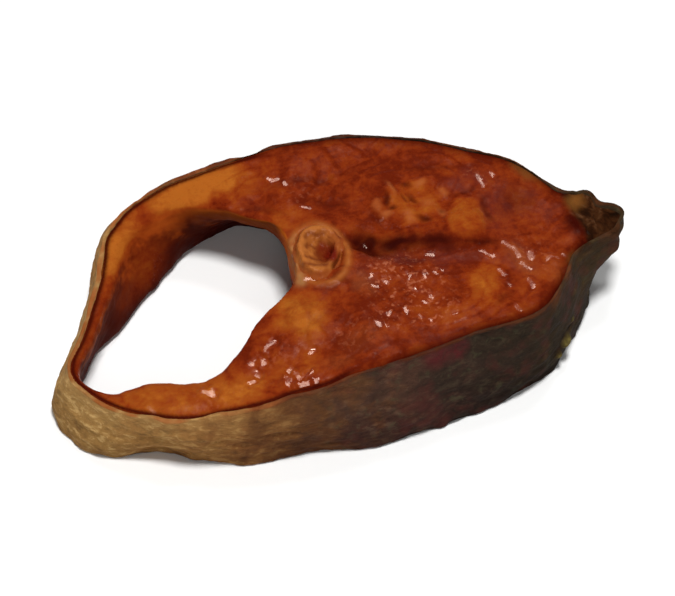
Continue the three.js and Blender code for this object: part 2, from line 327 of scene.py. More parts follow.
def along_path(points, path, half_width):
    """1 on a path in plan, fading out beside it."""
    return np.exp(-(from_path(points, path) / half_width) ** 2)


def tree_of(points):
    tree = KDTree(len(points))
    for index, point in enumerate(points):
        tree.insert(point, index)
    tree.balance()
    return tree


def nearest_distances(points, others):
    tree = tree_of(others)
    return np.array([tree.find(point)[2] for point in points])


# ---------- camera ----------

TARGET = Vector((0.43, -4.77, 12.0))
AZIMUTH = -24.5
ELEVATION = 53.0
DISTANCE = 741.0
LENS = 168.0
SENSOR_WIDTH = 36
ROLL = 7.0
CLIP = (0.01, 20)


def toward(azimuth, elevation):
    """Direction from the steak; azimuth 0 is the front, and it grows to the right."""
    a, e = math.radians(azimuth), math.radians(elevation)
    return Vector((math.sin(a) * math.cos(e), -math.cos(a) * math.cos(e), math.sin(e)))


def make_camera():
    back = toward(AZIMUTH, ELEVATION)
    data = bpy.data.cameras.new("camera")
    data.lens = LENS
    data.sensor_width = SENSOR_WIDTH
    data.clip_start, data.clip_end = CLIP
    camera = bpy.data.objects.new("camera", data)
    bpy.context.scene.collection.objects.link(camera)
    turn = (-back).to_track_quat("-Z", "Y").to_matrix().to_4x4()
    roll = Matrix.Rotation(math.radians(ROLL), 4, "Z")
    camera.matrix_world = Matrix.Translation((TARGET + back * DISTANCE) * MM) @ turn @ roll
    bpy.context.scene.camera = camera


# ---------- the solid steak, as cast rays find it ----------

solid = frame["nodes"]["steak"]
solid_tree = BVHTree.FromPolygons(
    [v.co.copy() for v in solid.data.vertices],
    [tuple(p.vertices) for p in solid.data.polygons])

OUTSIDE = 0.2                # where the rays start, in metres from the middle
WAIST = 9.0                  # a height that the outer wall has all round
HIGHEST = 32.0
TRIAL_ANGLES = 2881
RIM_STEP = 0.25
RIM_DROP = 1.2               # the wall ends where its radius falls by this much in one step
RIM_BEND = 1.4               # height of the rounded upper edge, which the skin passes straight
LEAN_SPAN = 1.5              # height over which the wall's lean is measured
LOWEST_RAY = 1.3


def wall_radius(angle, height):
    """How far the outer wall is from the middle of the steak, in mm, or 0."""
    out = Vector((math.cos(angle), math.sin(angle), 0))
    hit = solid_tree.ray_cast(out * OUTSIDE + Vector((0, 0, height * MM)), -out)[0]
    return 0.0 if hit is None else math.hypot(hit.x, hit.y) / MM


def even_angles(pitch):
    """Angles round the outer wall, evenly spaced along it."""
    trial = np.linspace(0, 2 * math.pi, TRIAL_ANGLES)
    radius = np.array([wall_radius(angle, WAIST) for angle in trial])
    x, y = radius * np.cos(trial), radius * np.sin(trial)
    run = np.concatenate([[0], np.cumsum(np.hypot(np.diff(x), np.diff(y)))])
    count = int(round(run[-1] / pitch))
    return np.interp(np.arange(count) * run[-1] / count, run, trial)


def rim_height(angle):
    """Height at which the outer wall ends at the upper cut."""
    height = WAIST
    radius = wall_radius(angle, height)
    while height < HIGHEST:
        above = wall_radius(angle, height + RIM_STEP)
        if above < radius - RIM_DROP:
            break
        radius = above
        height += RIM_STEP
    return height


def blurred(grid, sigma, axis, wrap):
    reach = int(math.ceil(3 * sigma))
    offsets = np.arange(-reach, reach + 1)
    weights = np.exp(-offsets ** 2 / (2 * sigma ** 2))
    weights /= weights.sum()
    pad = [(0, 0)] * grid.ndim
    pad[axis] = (reach, reach)
    padded = np.pad(grid, pad, mode="wrap" if wrap else "edge")
    return sum(w * np.take(padded, np.arange(grid.shape[axis]) + k, axis)
               for k, w in enumerate(weights))


# ---------- skin ----------


def scales(u, v):
    """Relief of overlapping scales, 0 to 1. u runs round the fish, v toward the tail."""
    spots = np.column_stack([u.ravel(), v.ravel(), np.zeros(u.size)])
    across = spots[:, 0] + 0.5 * noise(spots, 3.1, 41)
    along = spots[:, 1] + 0.4 * noise(spots, 2.7, 42)
    width, length = SCALE_REACH[0] * SCALE_WIDTH, SCALE_REACH[1] * SCALE_STEP
    first_row = np.floor(along / SCALE_STEP).astype(np.int64)
    height = np.zeros(len(spots))
    covered = np.zeros(len(spots), bool)
    for back in (-2, -1, 0):
        row = first_row + back
        shift = 0.5 * (row % 2)
        column = np.floor(across / SCALE_WIDTH - shift + 0.5)
        du = across - (column + shift) * SCALE_WIDTH
        dv = along - (row + 0.1) * SCALE_STEP
        inside = (du / width) ** 2 + (dv / length) ** 2 < 1
        new = inside & (dv > -SCALE_STEP) & ~covered
        lift = SCALE_ROOT + (1 - SCALE_ROOT) * np.clip(dv / (1.5 * SCALE_STEP), 0, 1)
        height[new] = lift[new]
        covered |= new
    return height.reshape(u.shape)


def skin_surface():
    """The outer wall on a grid: places in mm, and the run round the fish."""
    angles = even_angles(SKIN_PITCH)
    rims = blurred(np.array([rim_height(angle) for angle in angles]), RIM_BLUR, 0, True)
    heights = SKIN_FOOT + np.linspace(0, 1, SKIN_ROWS)[None, :] * (rims[:, None] - SKIN_FOOT)
    radii = np.empty_like(heights)
    for column, angle in enumerate(angles):
        bend = rims[column] - RIM_BEND
        top = wall_radius(angle, bend)
        lean = (top - wall_radius(angle, bend - LEAN_SPAN)) / LEAN_SPAN
        for row, z in enumerate(heights[column]):
            straight_on = top + lean * (z - bend)
            radii[column, row] = straight_on if z > bend else wall_radius(angle, max(z, LOWEST_RAY))
    radii = blurred(blurred(radii, SKIN_BLUR[0], 0, True), SKIN_BLUR[1], 1, False)
    x = radii * np.cos(angles)[:, None]
    y = radii * np.sin(angles)[:, None]
    return np.stack([x, y, heights], axis=2), np.arange(len(angles)) * SKIN_PITCH


def grid_normals(grid):
    sideways = np.roll(grid, -1, 0) - np.roll(grid, 1, 0)
    up = np.gradient(grid, axis=1)
    n = np.cross(sideways, up)
    return n / np.linalg.norm(n, axis=2, keepdims=True)


# Pushes of the skin's foot, inward where below 0: middle, reach, mm.
FOOT_PUSHES = (((-47.5, -28.0), 6.0, -1.7), ((-31.0, -36.0), 4.0, 0.7), ((-57.5, -25.5), 4.5, 0.4))
FOOT_PUSH_HEIGHT = 11.0


def foot_pushes(grid):
    total = np.zeros(grid.shape[:2])
    for (x, y), reach, push in FOOT_PUSHES:
        off = np.hypot(grid[..., 0] - x, grid[..., 1] - y) / reach
        total += push * np.exp(-off ** 2) * smooth(1 - grid[..., 2] / FOOT_PUSH_HEIGHT)
    return total


def skin_relief(grid, run):
    u = np.repeat(run[:, None], grid.shape[1], 1)
    v = grid[:, :, 2]
    flat = grid.reshape(-1, 3)
    worn = smooth(0.55 + 0.9 * noise(flat, 9, 51)).reshape(v.shape)
    spots = np.column_stack([u.ravel(), v.ravel() + 1.2 * noise(flat, 9, 65), np.zeros(u.size)])
    folds = 1 - 2 * np.abs(layered(spots, (11, 3.4, 1), 61, 2)).reshape(v.shape)
    creases = layered(spots, (4.0, 1.7, 1), 66, 2).reshape(v.shape)
    dents = layered(flat, 11, 71).reshape(v.shape)
    ragged = layered(flat, 5, 75).reshape(v.shape) * fall(v, 5, 5)
    return (SCALE_RELIEF * scales(u, v) * worn + SKIN_FOLDS * folds + SKIN_CREASES * creases
            + SKIN_DENTS * dents + SKIN_RAG * ragged - SKIN_SETTLED + foot_pushes(grid))


# Knobs and notches of the fin's stub: middle, reach, push along X and Y.
FIN_KNOBS = (
    ((63.4, -0.4), 3.0, (0.8, 1.7)),
    ((66.0, -3.8), 1.7, (-1.6, -0.9)),
    ((68.8, -7.2), 2.6, (0.9, 0.4)),
    ((69.6, -10.4), 1.3, (-0.9, 0.1)),
    ((67.0, -13.0), 2.2, (0.8, -0.7)),
)
FIN_KNOB_HEIGHTS = (12.0, 19.0)      # the knobs fade out below these
# Purple on the skin: middle, height, reach.
SKIN_PLUM = (((14.0, -35.5), 24.5, 3.8), ((19.0, -34.5), 23.5, 2.6))
# Scraps of fat on the skin, low at the near side of the back: middle, height, reach.
SKIN_SCRAPS = (((49.5, -28.0), 7.5, 1.5), ((46.8, -29.2), 5.5, 1.1), ((53.2, -26.0), 11.0, 1.2))


def knobbed(points):
    """Moves points of the fin's stub outward at its knobs and inward at its notches."""
    moved = points.copy()
    low, high = FIN_KNOB_HEIGHTS
    up = rise(points[..., 2], low, high - low)
    for middle, reach, push in FIN_KNOBS:
        off = np.hypot(points[..., 0] - middle[0], points[..., 1] - middle[1]) / reach
        moved[..., :2] += (np.exp(-off ** 2) * up)[..., None] * np.array(push)
    return moved


def spots_on(points, balls):
    """1 in the middle of each ball, fading out just past its reach."""
    total = np.zeros(points.shape[:-1])
    for (x, y), height, reach in balls:
        away = np.linalg.norm(points - np.array([x, y, height]), axis=-1)
        total = np.maximum(total, smooth(1.6 - away / reach))
    return total


def skin_thickness(rim):
    thin = rise(rim[:, 0], -40, 60)
    thickness = SKIN_THICKNESS[0] + (SKIN_THICKNESS[1] - SKIN_THICKNESS[0]) * thin
    return (thickness * (1 + 0.4 * layered(rim, 3.4, 84, 2)))[:, None]


def skin_rows(grid, outer, outward):
    """Rows of points: up the outer side, over the rim, down the inner side and round the foot."""
    rim = grid[:, -1]
    thickness = skin_thickness(rim)
    inner_top = rim - outward[:, -1] * thickness
    inner_foot = grid[:, 0] - outward[:, 0] * thickness
    rag = SKIN_RIM_RAG[0] * noise(rim, 1.3, 81) + SKIN_RIM_RAG[1] * noise(rim, 4.0, 82)
    rows = [outer[:, row] for row in range(SKIN_ROWS)]
    for k in range(1, SKIN_RIM_ROWS + 1):
        share = k / SKIN_RIM_ROWS
        bow = (SKIN_RIM_PROUD + rag) * math.sin(math.pi * share) ** 0.5
        rows.append(outer[:, -1] * (1 - share) + inner_top * share + UP * bow[:, None])
    for k in range(1, SKIN_INNER_ROWS):
        share = k / SKIN_INNER_ROWS
        rows.append(inner_top * (1 - share) + inner_foot * share)
    rows.append(inner_foot)
    rows.append((outer[:, 0] + inner_foot) / 2 - UP * SKIN_FOOT_ROUND)
    return rows + rows[:1]


def on_outside(size, values):
    """Values of the outer wall's grid on the whole sheet of skin."""
    whole = np.zeros(size)
    whole[:-1, :SKIN_ROWS] = values
    whole[-1] = whole[0]
    return whole.ravel()


def cut_edge(size, rim):
    """1 on the skin's rim, and fading out below it at the back, where the skin is brown."""
    edge = np.zeros(size)
    edge[:, SKIN_ROWS - 1:SKIN_ROWS + SKIN_RIM_ROWS - 1] = 1
    edge[:, SKIN_ROWS - 2] = 0.5
    browned = rise(rim[:, 0], 34, 14) * fall(rim[:, 1], 6, 10)
    for k in range(2, BROWN_ROWS):
        row = edge[:-1, SKIN_ROWS - k]
        row[:] = np.maximum(row, browned * (1 - k / BROWN_ROWS))
    edge[:-1] *= smooth(0.66 + 0.9 * layered(rim, 3.0, 86, 2))[:, None]
    edge[-1] = edge[0]
    return edge.ravel()


def make_skin(grid, run):
    outward = grid_normals(grid)
    scrap = spots_on(grid, SKIN_SCRAPS)
    relief = skin_relief(grid, run) + scrap
    outer = grid + outward * (SKIN_PROUD + relief)[:, :, None]
    piece, size = closed_sheet("skin", [knobbed(row) for row in skin_rows(grid, outer, outward)])
    paint(piece, "cut_edge", cut_edge(size, grid[:, -1]))
    paint(piece, "scrap", on_outside(size, scrap))
    paint(piece, "plum", on_outside(size, spots_on(grid, SKIN_PLUM)))
    in_edit_mode(piece, select_all, merge_doubles, faces_outward)
    shade_smooth(piece)
    return piece


# ---------- flesh ----------

BEHIND_SKIN = 1.4            # flesh nearer to the skin than this is hidden by it
INSIDE_CUT = 2.5             # from here inward the upper cut is smoothed flat


def make_flesh(skin_points, rim_points):
    piece = bpy.data.objects.new("flesh", solid.data.copy())
    bpy.context.scene.collection.objects.link(piece)
    piece.data.materials.clear()
    in_edit_mode(piece, select_all, merge_doubles, bpy.ops.mesh.tris_convert_to_quads)
    finish_modifier(piece, "SUBSURF", levels=1, render_levels=1)
    finish_modifier(piece, "REMESH", mode="VOXEL", voxel_size=STEAK_VOXEL * MM)
    finish_modifier(piece, "SMOOTH", factor=0.5, iterations=STEAK_SMOOTHING)
    thin_hidden_sides(piece, skin_points)
    level_upper_cut(piece, skin_points)
    satin, glazed = shape_flesh(piece, skin_points, rim_points)
    coat_flesh(piece, satin, glazed)
    shade_smooth(piece)
    return piece


def thin_hidden_sides(piece, skin_points):
    """Fewer faces on the underside and behind the skin, where no detail shows."""
    facing_up = normals(piece)[:, 2]
    behind = (nearest_distances(places(piece), skin_points) < BEHIND_SKIN) & (facing_up < 0.3)
    ratio = STEAK_TRIANGLES / (2 * len(piece.data.polygons))
    finish_where(piece, behind | (facing_up < -0.7), "DECIMATE", ratio=ratio)


def level_upper_cut(piece, skin_points):
    """Smooths the upper cut well inside its edges, before its own relief is put on."""
    inside = nearest_distances(places(piece), skin_points) > INSIDE_CUT
    chosen = inside & (normals(piece)[:, 2] > 0.75)
    finish_where(piece, chosen, "SMOOTH", factor=0.5, iterations=UPPER_CUT_SMOOTHING)


# Ovals in the upper cut: middle, reach, turn in degrees, softness of the edge, strength.
FAT = (
    ((-47, 20), (17, 9), 45, 0.8, 0.85),         # far flap
    ((-25, 29.5), (18, 8.5), 6, 0.7, 0.93),
    ((-13, 28), (10, 8), -8, 0.9, 0.35),
    ((-8, 12), (8, 5), 0, 0.9, 0.3),             # over the backbone
    ((32.5, -1.0), (5.6, 7.1), -14, 0.3, 0.42),  # pad beside the seam
    ((21.8, 7.0), (10.5, 8.0), -10, 0.7, 0.3),   # muscle ends
    ((30.0, -19.4), (6.4, 9.2), -18, 0.8, 0.5),  # near side, toward the back
    ((29.4, -20.0), (2.9, 7.2), -12, 1.0, 0.8),
    ((21.8, -25.8), (7.6, 3.6), 8, 0.9, 0.5),
    ((-13.0, -15), (9, 12), 20, 0.9, 0.75),      # under the backbone
    ((-46, -24), (26, 10), -8, 0.7, 0.48),       # near flap
    ((-32, -28.5), (13, 7.5), 0, 0.9, 0.75),
    ((-20, -28), (13, 8), 0, 0.9, 0.4),
    ((46, -19), (7, 7), 0, 0.9, 0.22),
    ((-5.2, -4.8), (5.5, 4.4), 0, 0.8, 0.5),
)
# Darker flesh, painted into the colour. In the spinal canal, along the seam, in the gaps between the muscle
# ends and beside the pad it is painted shade in hollows and at edges; the other ovals are the flesh's own
# darker red.
DARK = (
    ((7.9, -1.2), (3.4, 2.8), -10, 0.7, 0.95),   # spinal canal
    ((15.0, -2.3), (9.5, 3.4), -6, 0.9, 1.0),    # seam
    ((23.5, -5.2), (9.0, 2.8), -22, 0.9, 0.9),
    ((33.5, -8.6), (6.5, 2.0), -8, 0.9, 0.7),
    ((15.6, 9.2), (1.4, 2.8), 0, 0.9, 0.75),     # gaps between the muscle ends
    ((16.8, 6.7), (2.2, 1.2), 0, 0.9, 0.75),
    ((22.5, 12.7), (1.7, 1.5), 0, 0.9, 0.6),
    ((22.5, 8.4), (1.1, 2.8), 20, 0.9, 0.6),
    ((20.8, 9.0), (0.9, 2.4), 10, 0.9, 0.45),
    ((22.6, 2.0), (2.4, 2.0), 20, 0.9, 0.75),
    ((28.0, 3.6), (1.0, 1.3), 0, 0.9, 0.4),
    ((11.8, 5.6), (2.2, 4.2), 0, 0.9, 0.35),
    ((35.0, 7.0), (3.4, 1.3), 0, 0.9, 0.4),      # over the pad
    ((-12, 17), (8, 1.6), -35, 0.9, 0.35),       # over the cavity
    ((4, 13), (7, 1.5), -25, 0.9, 0.35),
    ((0.0, 21.0), (16, 1.5), -8, 0.9, 0.3),
    ((30.0, 16.5), (12, 1.6), -16, 0.9, 0.3),
    ((38.4, 0.5), (1.7, 6.0), 8, 0.9, 0.55),     # beside the pad
    ((46.0, 1.5), (7.5, 7.5), 0, 0.9, 0.36),
    ((33.0, -25.4), (5.0, 2.0), 14, 0.9, 0.35),
    ((16.5, -8.0), (6.0, 3.0), -15, 0.9, 0.25),
)
PLUM = (
    ((12.5, -6.4), (9.5, 4.4), -12, 0.9, 0.9),   # under the seam
    ((3.5, -10.5), (3.6, 6.5), 15, 0.9, 0.6),
    ((24.0, -9.6), (7.5, 3.8), -18, 0.9, 1.0),
    ((41.0, -15.0), (5.5, 9.5), 5, 0.9, 0.7),
    ((38.5, 10.5), (6.5, 5.0), 0, 0.9, 0.6),
    ((41.0, 1.0), (7.0, 12.0), -15, 0.9, 0.75),
    ((17.0, -31.5), (9.0, 3.4), 0, 0.9, 0.6),
    ((49.0, 0.0), (6.0, 9.0), 0, 0.9, 0.4),
    ((34.2, 10.2), (4.5, 3.2), 0, 0.9, 0.9),
)
BEFORE_FIN = ((57.0, -9.5), (3.2, 10.0), 8, 0.9, 0.9)
# Painted sheen and highlights: pinkish tan laid into the colour where wet flesh would catch the light, on
# the muscle ends' tops and in zones of the near side.
PAINTED_SHEEN = (
    ((18.1, 12.0), (1.6, 3.0), 0, 0.9, 0.85),    # on the muscle ends
    ((25.8, 12.4), (2.8, 1.8), 20, 0.9, 0.8),
    ((19.6, 3.4), (2.0, 2.6), 0, 0.9, 0.75),
    ((14.8, 5.5), (2.8, 1.6), -10, 0.9, 0.75),
    ((27.8, 3.0), (1.8, 2.6), 0, 0.9, 0.6),
    ((30.6, 8.4), (1.8, 1.8), 0, 0.9, 0.6),
    ((25.6, 6.4), (3.0, 1.7), 0, 0.9, 0.5),
    ((13.6, 8.4), (1.5, 2.6), 0, 0.9, 0.6),
    ((-1.6, -26.2), (9.0, 5.0), 0, 0.9, 0.14),   # near side
    ((-10.0, -30.0), (7.0, 3.5), 0, 0.9, 0.2),
    ((48.2, -19.7), (5.0, 5.0), 0, 0.9, 0.24),
    ((41.0, -15.5), (4.0, 8.0), 5, 0.9, 0.3),
    ((3.0, -12.0), (3.0, 5.0), 15, 0.9, 0.3),
)
OLIVE = (
    ((59.4, -2.8), (3.8, 3.6), -20, 0.8, 1.0),   # foot of the fin
    ((54.0, -18.6), (3.0, 3.4), 0, 0.9, 0.5),
    ((51.5, 8.5), (3.2, 6.0), 30, 0.9, 0.6),
)
# Smooth pads that stand up: middle, reach, turn, softness, height in mm.
PADS = (
    ((32.5, -1.0), (5.8, 7.3), -14, 0.6, 0.7),
    ((-13.0, -14.0), (6.5, 6.0), 20, 1.0, 0.4),
    ((-11.5, -22.0), (5.5, 5.0), 0, 1.0, 0.3),
    ((29.6, -19.0), (5.0, 7.5), -20, 0.8, 0.35),
    ((49.0, -17.6), (2.4, 2.4), 0, 0.8, 0.4),
    ((49.6, -21.6), (1.6, 1.6), 0, 0.8, 0.4),
    ((34.6, -28.0), (1.5, 1.5), 0, 0.8, 0.4),
)
# Muscle ends that stand up between dark gaps: middle, reach, turn, softness, share of the full height.
MUSCLE_ENDS = (
    ((18.0, 11.6), (2.1, 3.8), -4, 0.9, 1.0),
    ((13.6, 8.2), (1.9, 4.2), 2, 0.9, 0.8),
    ((14.9, 5.0), (3.0, 2.1), 0, 0.9, 0.9),
    ((19.6, 4.2), (3.1, 4.9), -4, 0.9, 1.0),
    ((25.4, 11.2), (3.2, 3.8), -10, 0.9, 0.85),
    ((26.2, 4.6), (3.0, 4.2), -16, 0.9, 0.9),
    ((30.2, 8.4), (2.4, 3.0), -14, 0.9, 0.6),
)
MUSCLE_END_HEIGHT = 0.6
LOBED = (
    ((-12.0, -17.0), (8.0, 11.0), 20, 0.6, 0.45),
    ((2.0, 14.0), (9.0, 5.0), 0, 0.8, 0.4),
)
LOBE_PITCH = (3.9, 7.4)
LOBE_TURN = -14
LOBE_RELIEF = 0.4
# Zones with a satin surface and little gloss.
SATIN = (
    ((-46, 21), (20, 12), 45, 0.4, 1.0),
    ((-28, 29), (22, 10), 5, 0.4, 1.0),
    ((14, -1.6), (13, 4.6), -8, 0.5, 1.0),
    ((27, -6.2), (11, 4.2), -22, 0.5, 1.0),
    ((21.3, 6.0), (13, 8.5), -12, 0.4, 0.75),
    ((32, -1.4), (6, 7), -14, 0.3, 0.8),
    ((62, -6), (7, 10), 0, 0.3, 1.0),
    ((29, -20), (7, 9), -18, 0.5, 0.75),
)
SEAM = [(6.4, 0.6), (8.5, -1.4), (11.5, -2.3), (16.2, -2.4), (20.0, -3.8), (25.4, -5.9), (30.5, -8.2),
        (34.4, -8.0), (38.6, -6.9)]
SEAM_HALF_WIDTH = 2.7
SEAM_GAPS = (((20.6, -1.6), (3.0, 2.4), 0, 0.9, 0.75), ((10.4, 0.3), (2.6, 1.8), 0, 0.9, 0.6))
SEAM_RELIEF = 0.32
GRAINY = (
    ((12, -13), (12, 12), -20, 0.5, 1.0),
    ((12, -22), (15, 8), 0, 0.6, 0.9),
    ((-3, -24), (9, 7), 0, 0.8, 0.35),
    ((44, -15), (8, 10), 0, 0.8, 0.44),
    ((-21, -23), (9, 7), 0, 0.8, 0.35),
    ((-38, -29), (14, 4), 0, 0.8, 0.3),
    ((-2, 18), (9, 8), 0, 0.8, 0.3),
    ((40, 10), (6, 6), 0, 0.8, 0.4),
)
GRAIN_PITCH = 2.4
GRAIN_RELIEF = 0.4
# Wet strokes that catch the light: half width, then the path in plan.
STROKES = (
    (0.6, [(38.8, -9.9), (39.8, -11.2), (40.8, -12.6), (41.0, -14.8)]),
    (0.45, [(41.0, -14.8), (41.1, -16.6), (41.6, -19.1)]),
    (0.6, [(40.7, -21.6), (40.7, -23.9)]),
    (0.7, [(44.2, -13.9), (43.6, -15.4)]),
    (0.5, [(35.2, -16.9), (35.6, -18.6)]),
    (0.35, [(35.4, -20.9), (35.9, -22.3)]),
    (0.45, [(34.7, -28.1), (35.3, -29.1)]),
    (0.4, [(46.7, -17.0), (47.6, -16.2), (48.6, -16.1), (49.5, -17.1)]),
    (0.4, [(49.6, -21.2), (50.6, -20.5), (51.4, -21.3), (50.8, -22.8), (49.5, -23.1)]),
    (0.35, [(51.2, -16.7), (51.9, -17.9)]),
    (0.3, [(33.0, -10.6), (34.0, -12.1), (35.1, -13.2)]),
    (0.35, [(7.2, -1.1), (7.8, -1.5)]),
    (0.4, [(20.6, -8.0), (21.6, -8.3)]),
    (0.42, [(17.6, -13.0), (17.7, -14.2)]),
    (0.42, [(20.1, -13.6), (20.8, -14.0)]),
    (0.35, [(21.7, -13.2), (22.1, -13.6)]),
    (0.4, [(13.6, -13.5), (14.2, -12.9)]),
    (0.35, [(8.3, -12.5), (8.5, -13.2)]),
    (0.4, [(5.0, -13.2), (5.8, -13.7)]),
    (0.35, [(16.9, -19.5), (17.3, -20.0)]),
    (0.3, [(15.0, -20.5), (15.6, -20.9)]),
    (0.4, [(5.7, -22.4), (6.4, -21.6)]),
    (0.42, [(10.1, -21.5), (10.1, -22.6)]),
    (0.35, [(12.5, -24.2), (12.7, -25.0)]),
    (0.3, [(14.3, -25.8), (14.7, -26.2)]),
    (0.42, [(2.3, -23.4), (2.9, -24.1), (3.0, -24.9)]),
    (0.3, [(20.4, -26.1), (21.0, -26.1)]),
    (0.3, [(5.0, -11.0), (6.2, -10.1)]),
    (0.4, [(-9.0, -6.3), (-7.0, -7.3)]),
    (0.3, [(-6.1, -6.8), (-4.4, -7.6)]),
    (0.75, [(-19.5, -28.0), (-19.1, -29.7), (-18.6, -31.3), (-17.4, -31.4), (-16.0, -30.8)]),
    (0.8, [(-20.6, -30.2), (-21.0, -31.9)]),
    (0.6, [(-21.0, -31.9), (-18.9, -33.1), (-16.8, -33.2), (-15.3, -33.4)]),
    (0.7, [(-27.3, -22.6), (-26.6, -22.9)]),
    (0.35, [(-26.6, -22.9), (-25.2, -23.4)]),
    (0.7, [(-25.0, -23.4), (-24.3, -23.7)]),
    (0.5, [(-26.8, -25.4), (-26.4, -26.2)]),
    (0.45, [(-29.0, -27.5), (-27.7, -27.3)]),
    (0.4, [(-20.6, -19.6), (-21.9, -20.1), (-22.8, -20.3), (-23.4, -20.9)]),
    (0.35, [(-14.2, -25.6), (-12.9, -25.3)]),
    (0.6, [(-39.4, -25.6), (-38.6, -26.6), (-37.6, -27.3)]),
    (0.4, [(-37.1, -25.5), (-37.4, -26.9)]),
    (0.45, [(-52.1, -25.2), (-51.6, -25.9), (-51.3, -26.7)]),
    (0.42, [(-7.8, 24.6), (-7.2, 23.6), (-5.8, 23.4)]),
    (0.35, [(-4.9, 22.3), (-4.3, 21.1)]),
    (0.55, [(39.5, 10.7), (40.0, 7.3)]),
    (0.4, [(43.0, 10.6), (43.0, 9.2)]),
    (0.35, [(-3.2, 14.0), (-1.4, 12.8)]),
)
# How steeply and which way a wet facet rises to mirror the glint lamp, along X and Y.
FACET_RISE = (0.058, 0.128)
FACET_LENGTH = 3.4           # the facets of a longer stroke follow one another in steps
# The pale membrane on the cavity's wall under the backbone.
MEMBRANE = [(-7.6, 5.8), (-8.7, 3.4), (-9.2, 0.2), (-9.5, -3.4), (-10.0, -6.4)]
# Middles of the four muscle blocks, and their shapes.
MUSCLES = (((24, 12), (22, 13)), ((20, -20), (24, 12)), ((-12, 24), (18, 10)), ((-12, -22), (16, 11)))
FLAKE_SPACING = 4.2
FLAKE_WARP = 2.0
FLAKE_RELIEF = 0.26
UNFLAKED = ((-10, -22), (24, 18))      # middle and reach of flesh with fainter flakes
VERTEBRA = (-3.3, 0.7)
BAND_MIDDLE = (-3.7, -0.6)   # of the tan band round the vertebra
BAND_RADII = (6.6, 8.6)
BAND_HALF_WIDTH = 0.9
MEMBRANE_HALF_WIDTH = 1.4
FIN_START = 57.2             # along X
FIN_MIDDLE = -7              # along Y
FIN_HALF_WIDTH = 9
# How crooked outlines run: the longest push, pitch and seed of each layer.
CRUMPLED = ((1.3, 4.2, 5), (0.5, 1.6, 8))
LOBE_WARP = ((1.7, 4.5, 2), (0.5, 1.5, 32))
END_WARP = (0.7, 2.6, 72)
STROKE_WARP = (0.25, 1.7, 12)
# More relief of the flesh, in mm.
UNEVEN = 0.32
ROUGH = 0.1
CANAL_DEPTH = 0.4
DARK_DEPTH = 0.2
FINE_GRAIN = 0.14
STRAY_BEADS = 0.12
BAND_HEIGHT = 0.45
WALL_RELIEF = (0.35, 0.12)
EDGE_DEPTH = 0.25            # the cut's edge lies this far below the rim of the skin
# What lies in ovals on the cut, under the names of its masks.
OVALS = {"fat": FAT, "dark": DARK, "plum": PLUM, "painted_sheen": PAINTED_SHEEN, "olive": OLIVE,
         "grainy": GRAINY, "lobed": LOBED, "satin": SATIN}


def strokes(points, crooked, n):
    """Heights of the wet strokes' tilted facets in mm, and distances from the strokes' edges.

    n holds the points' normals, and crooked the points as they are measured against the paths.
    """
    off = np.full(len(points), np.inf)
    height = np.zeros(len(points))
    for half_width, path in STROKES:
        away = from_path(crooked, path) - half_width
        inside = (away < 0.2) & (n[:, 2] > 0.6)
        middle = points[inside].mean(axis=0)
        lean = n[inside].mean(axis=0)
        away_from = points[:, :2] - middle[:2]
        flat = middle[2] - away_from @ (lean[:2] / lean[2]) - points[:, 2]
        climb = np.array(FACET_RISE) + lean[:2] / lean[2]
        slope = np.linalg.norm(climb)
        along = away_from @ (climb / slope)
        if np.ptp(along[inside]) > 1.3 * FACET_LENGTH:
            along = (along / FACET_LENGTH + 0.5) % 1.0 * FACET_LENGTH - FACET_LENGTH / 2
        closer = away < off
        tilted = (slope * along + np.clip(flat, -0.5, 0.5)) * fall(away, 0.8, 0.5)
        height = np.where(closer, tilted, height)
        off = np.where(closer, away, off)
    return height, off


def flakes(points):
    """How far across its muscle flake a point is, 0 to 1. The flakes are rings in each block."""
    x, y = (points[:, :2] + FLAKE_WARP * wander(points, 8, 91, axes=2)).T
    best = np.full(len(points), np.inf)
    for (cx, cy), (a, b) in MUSCLES:
        ring = np.sqrt(((x - cx) / a) ** 2 + ((y - cy) / b) ** 2)
        best = np.minimum(best, ring * (a + b) / 2)
    phase = best / FLAKE_SPACING
    return phase - np.floor(phase)


def beside_vertebra(points):
    """The tan band round the vertebra, 0 to 1, strongest on its dorsal side."""
    rx, ry = BAND_RADII
    x, y = (points[:, 0] - BAND_MIDDLE[0]) / rx, (points[:, 1] - BAND_MIDDLE[1]) / ry
    off = (np.hypot(x, y) - 1) * (rx + ry) / 2 / BAND_HALF_WIDTH
    return np.exp(-off ** 2) * (0.75 + 0.25 * rise(x, -0.3, 0.8))


def under_rim(points, rim_points):
    """How far below the rim of the skin each point is, in mm."""
    tree = tree_of(rim_points * (1, 1, 0))
    return np.array([rim_points[tree.find((x, y, 0))[1]][2] - z for x, y, z in points])


def pads(points):
    return sum(height * patch(points, *oval) for *oval, height in PADS)


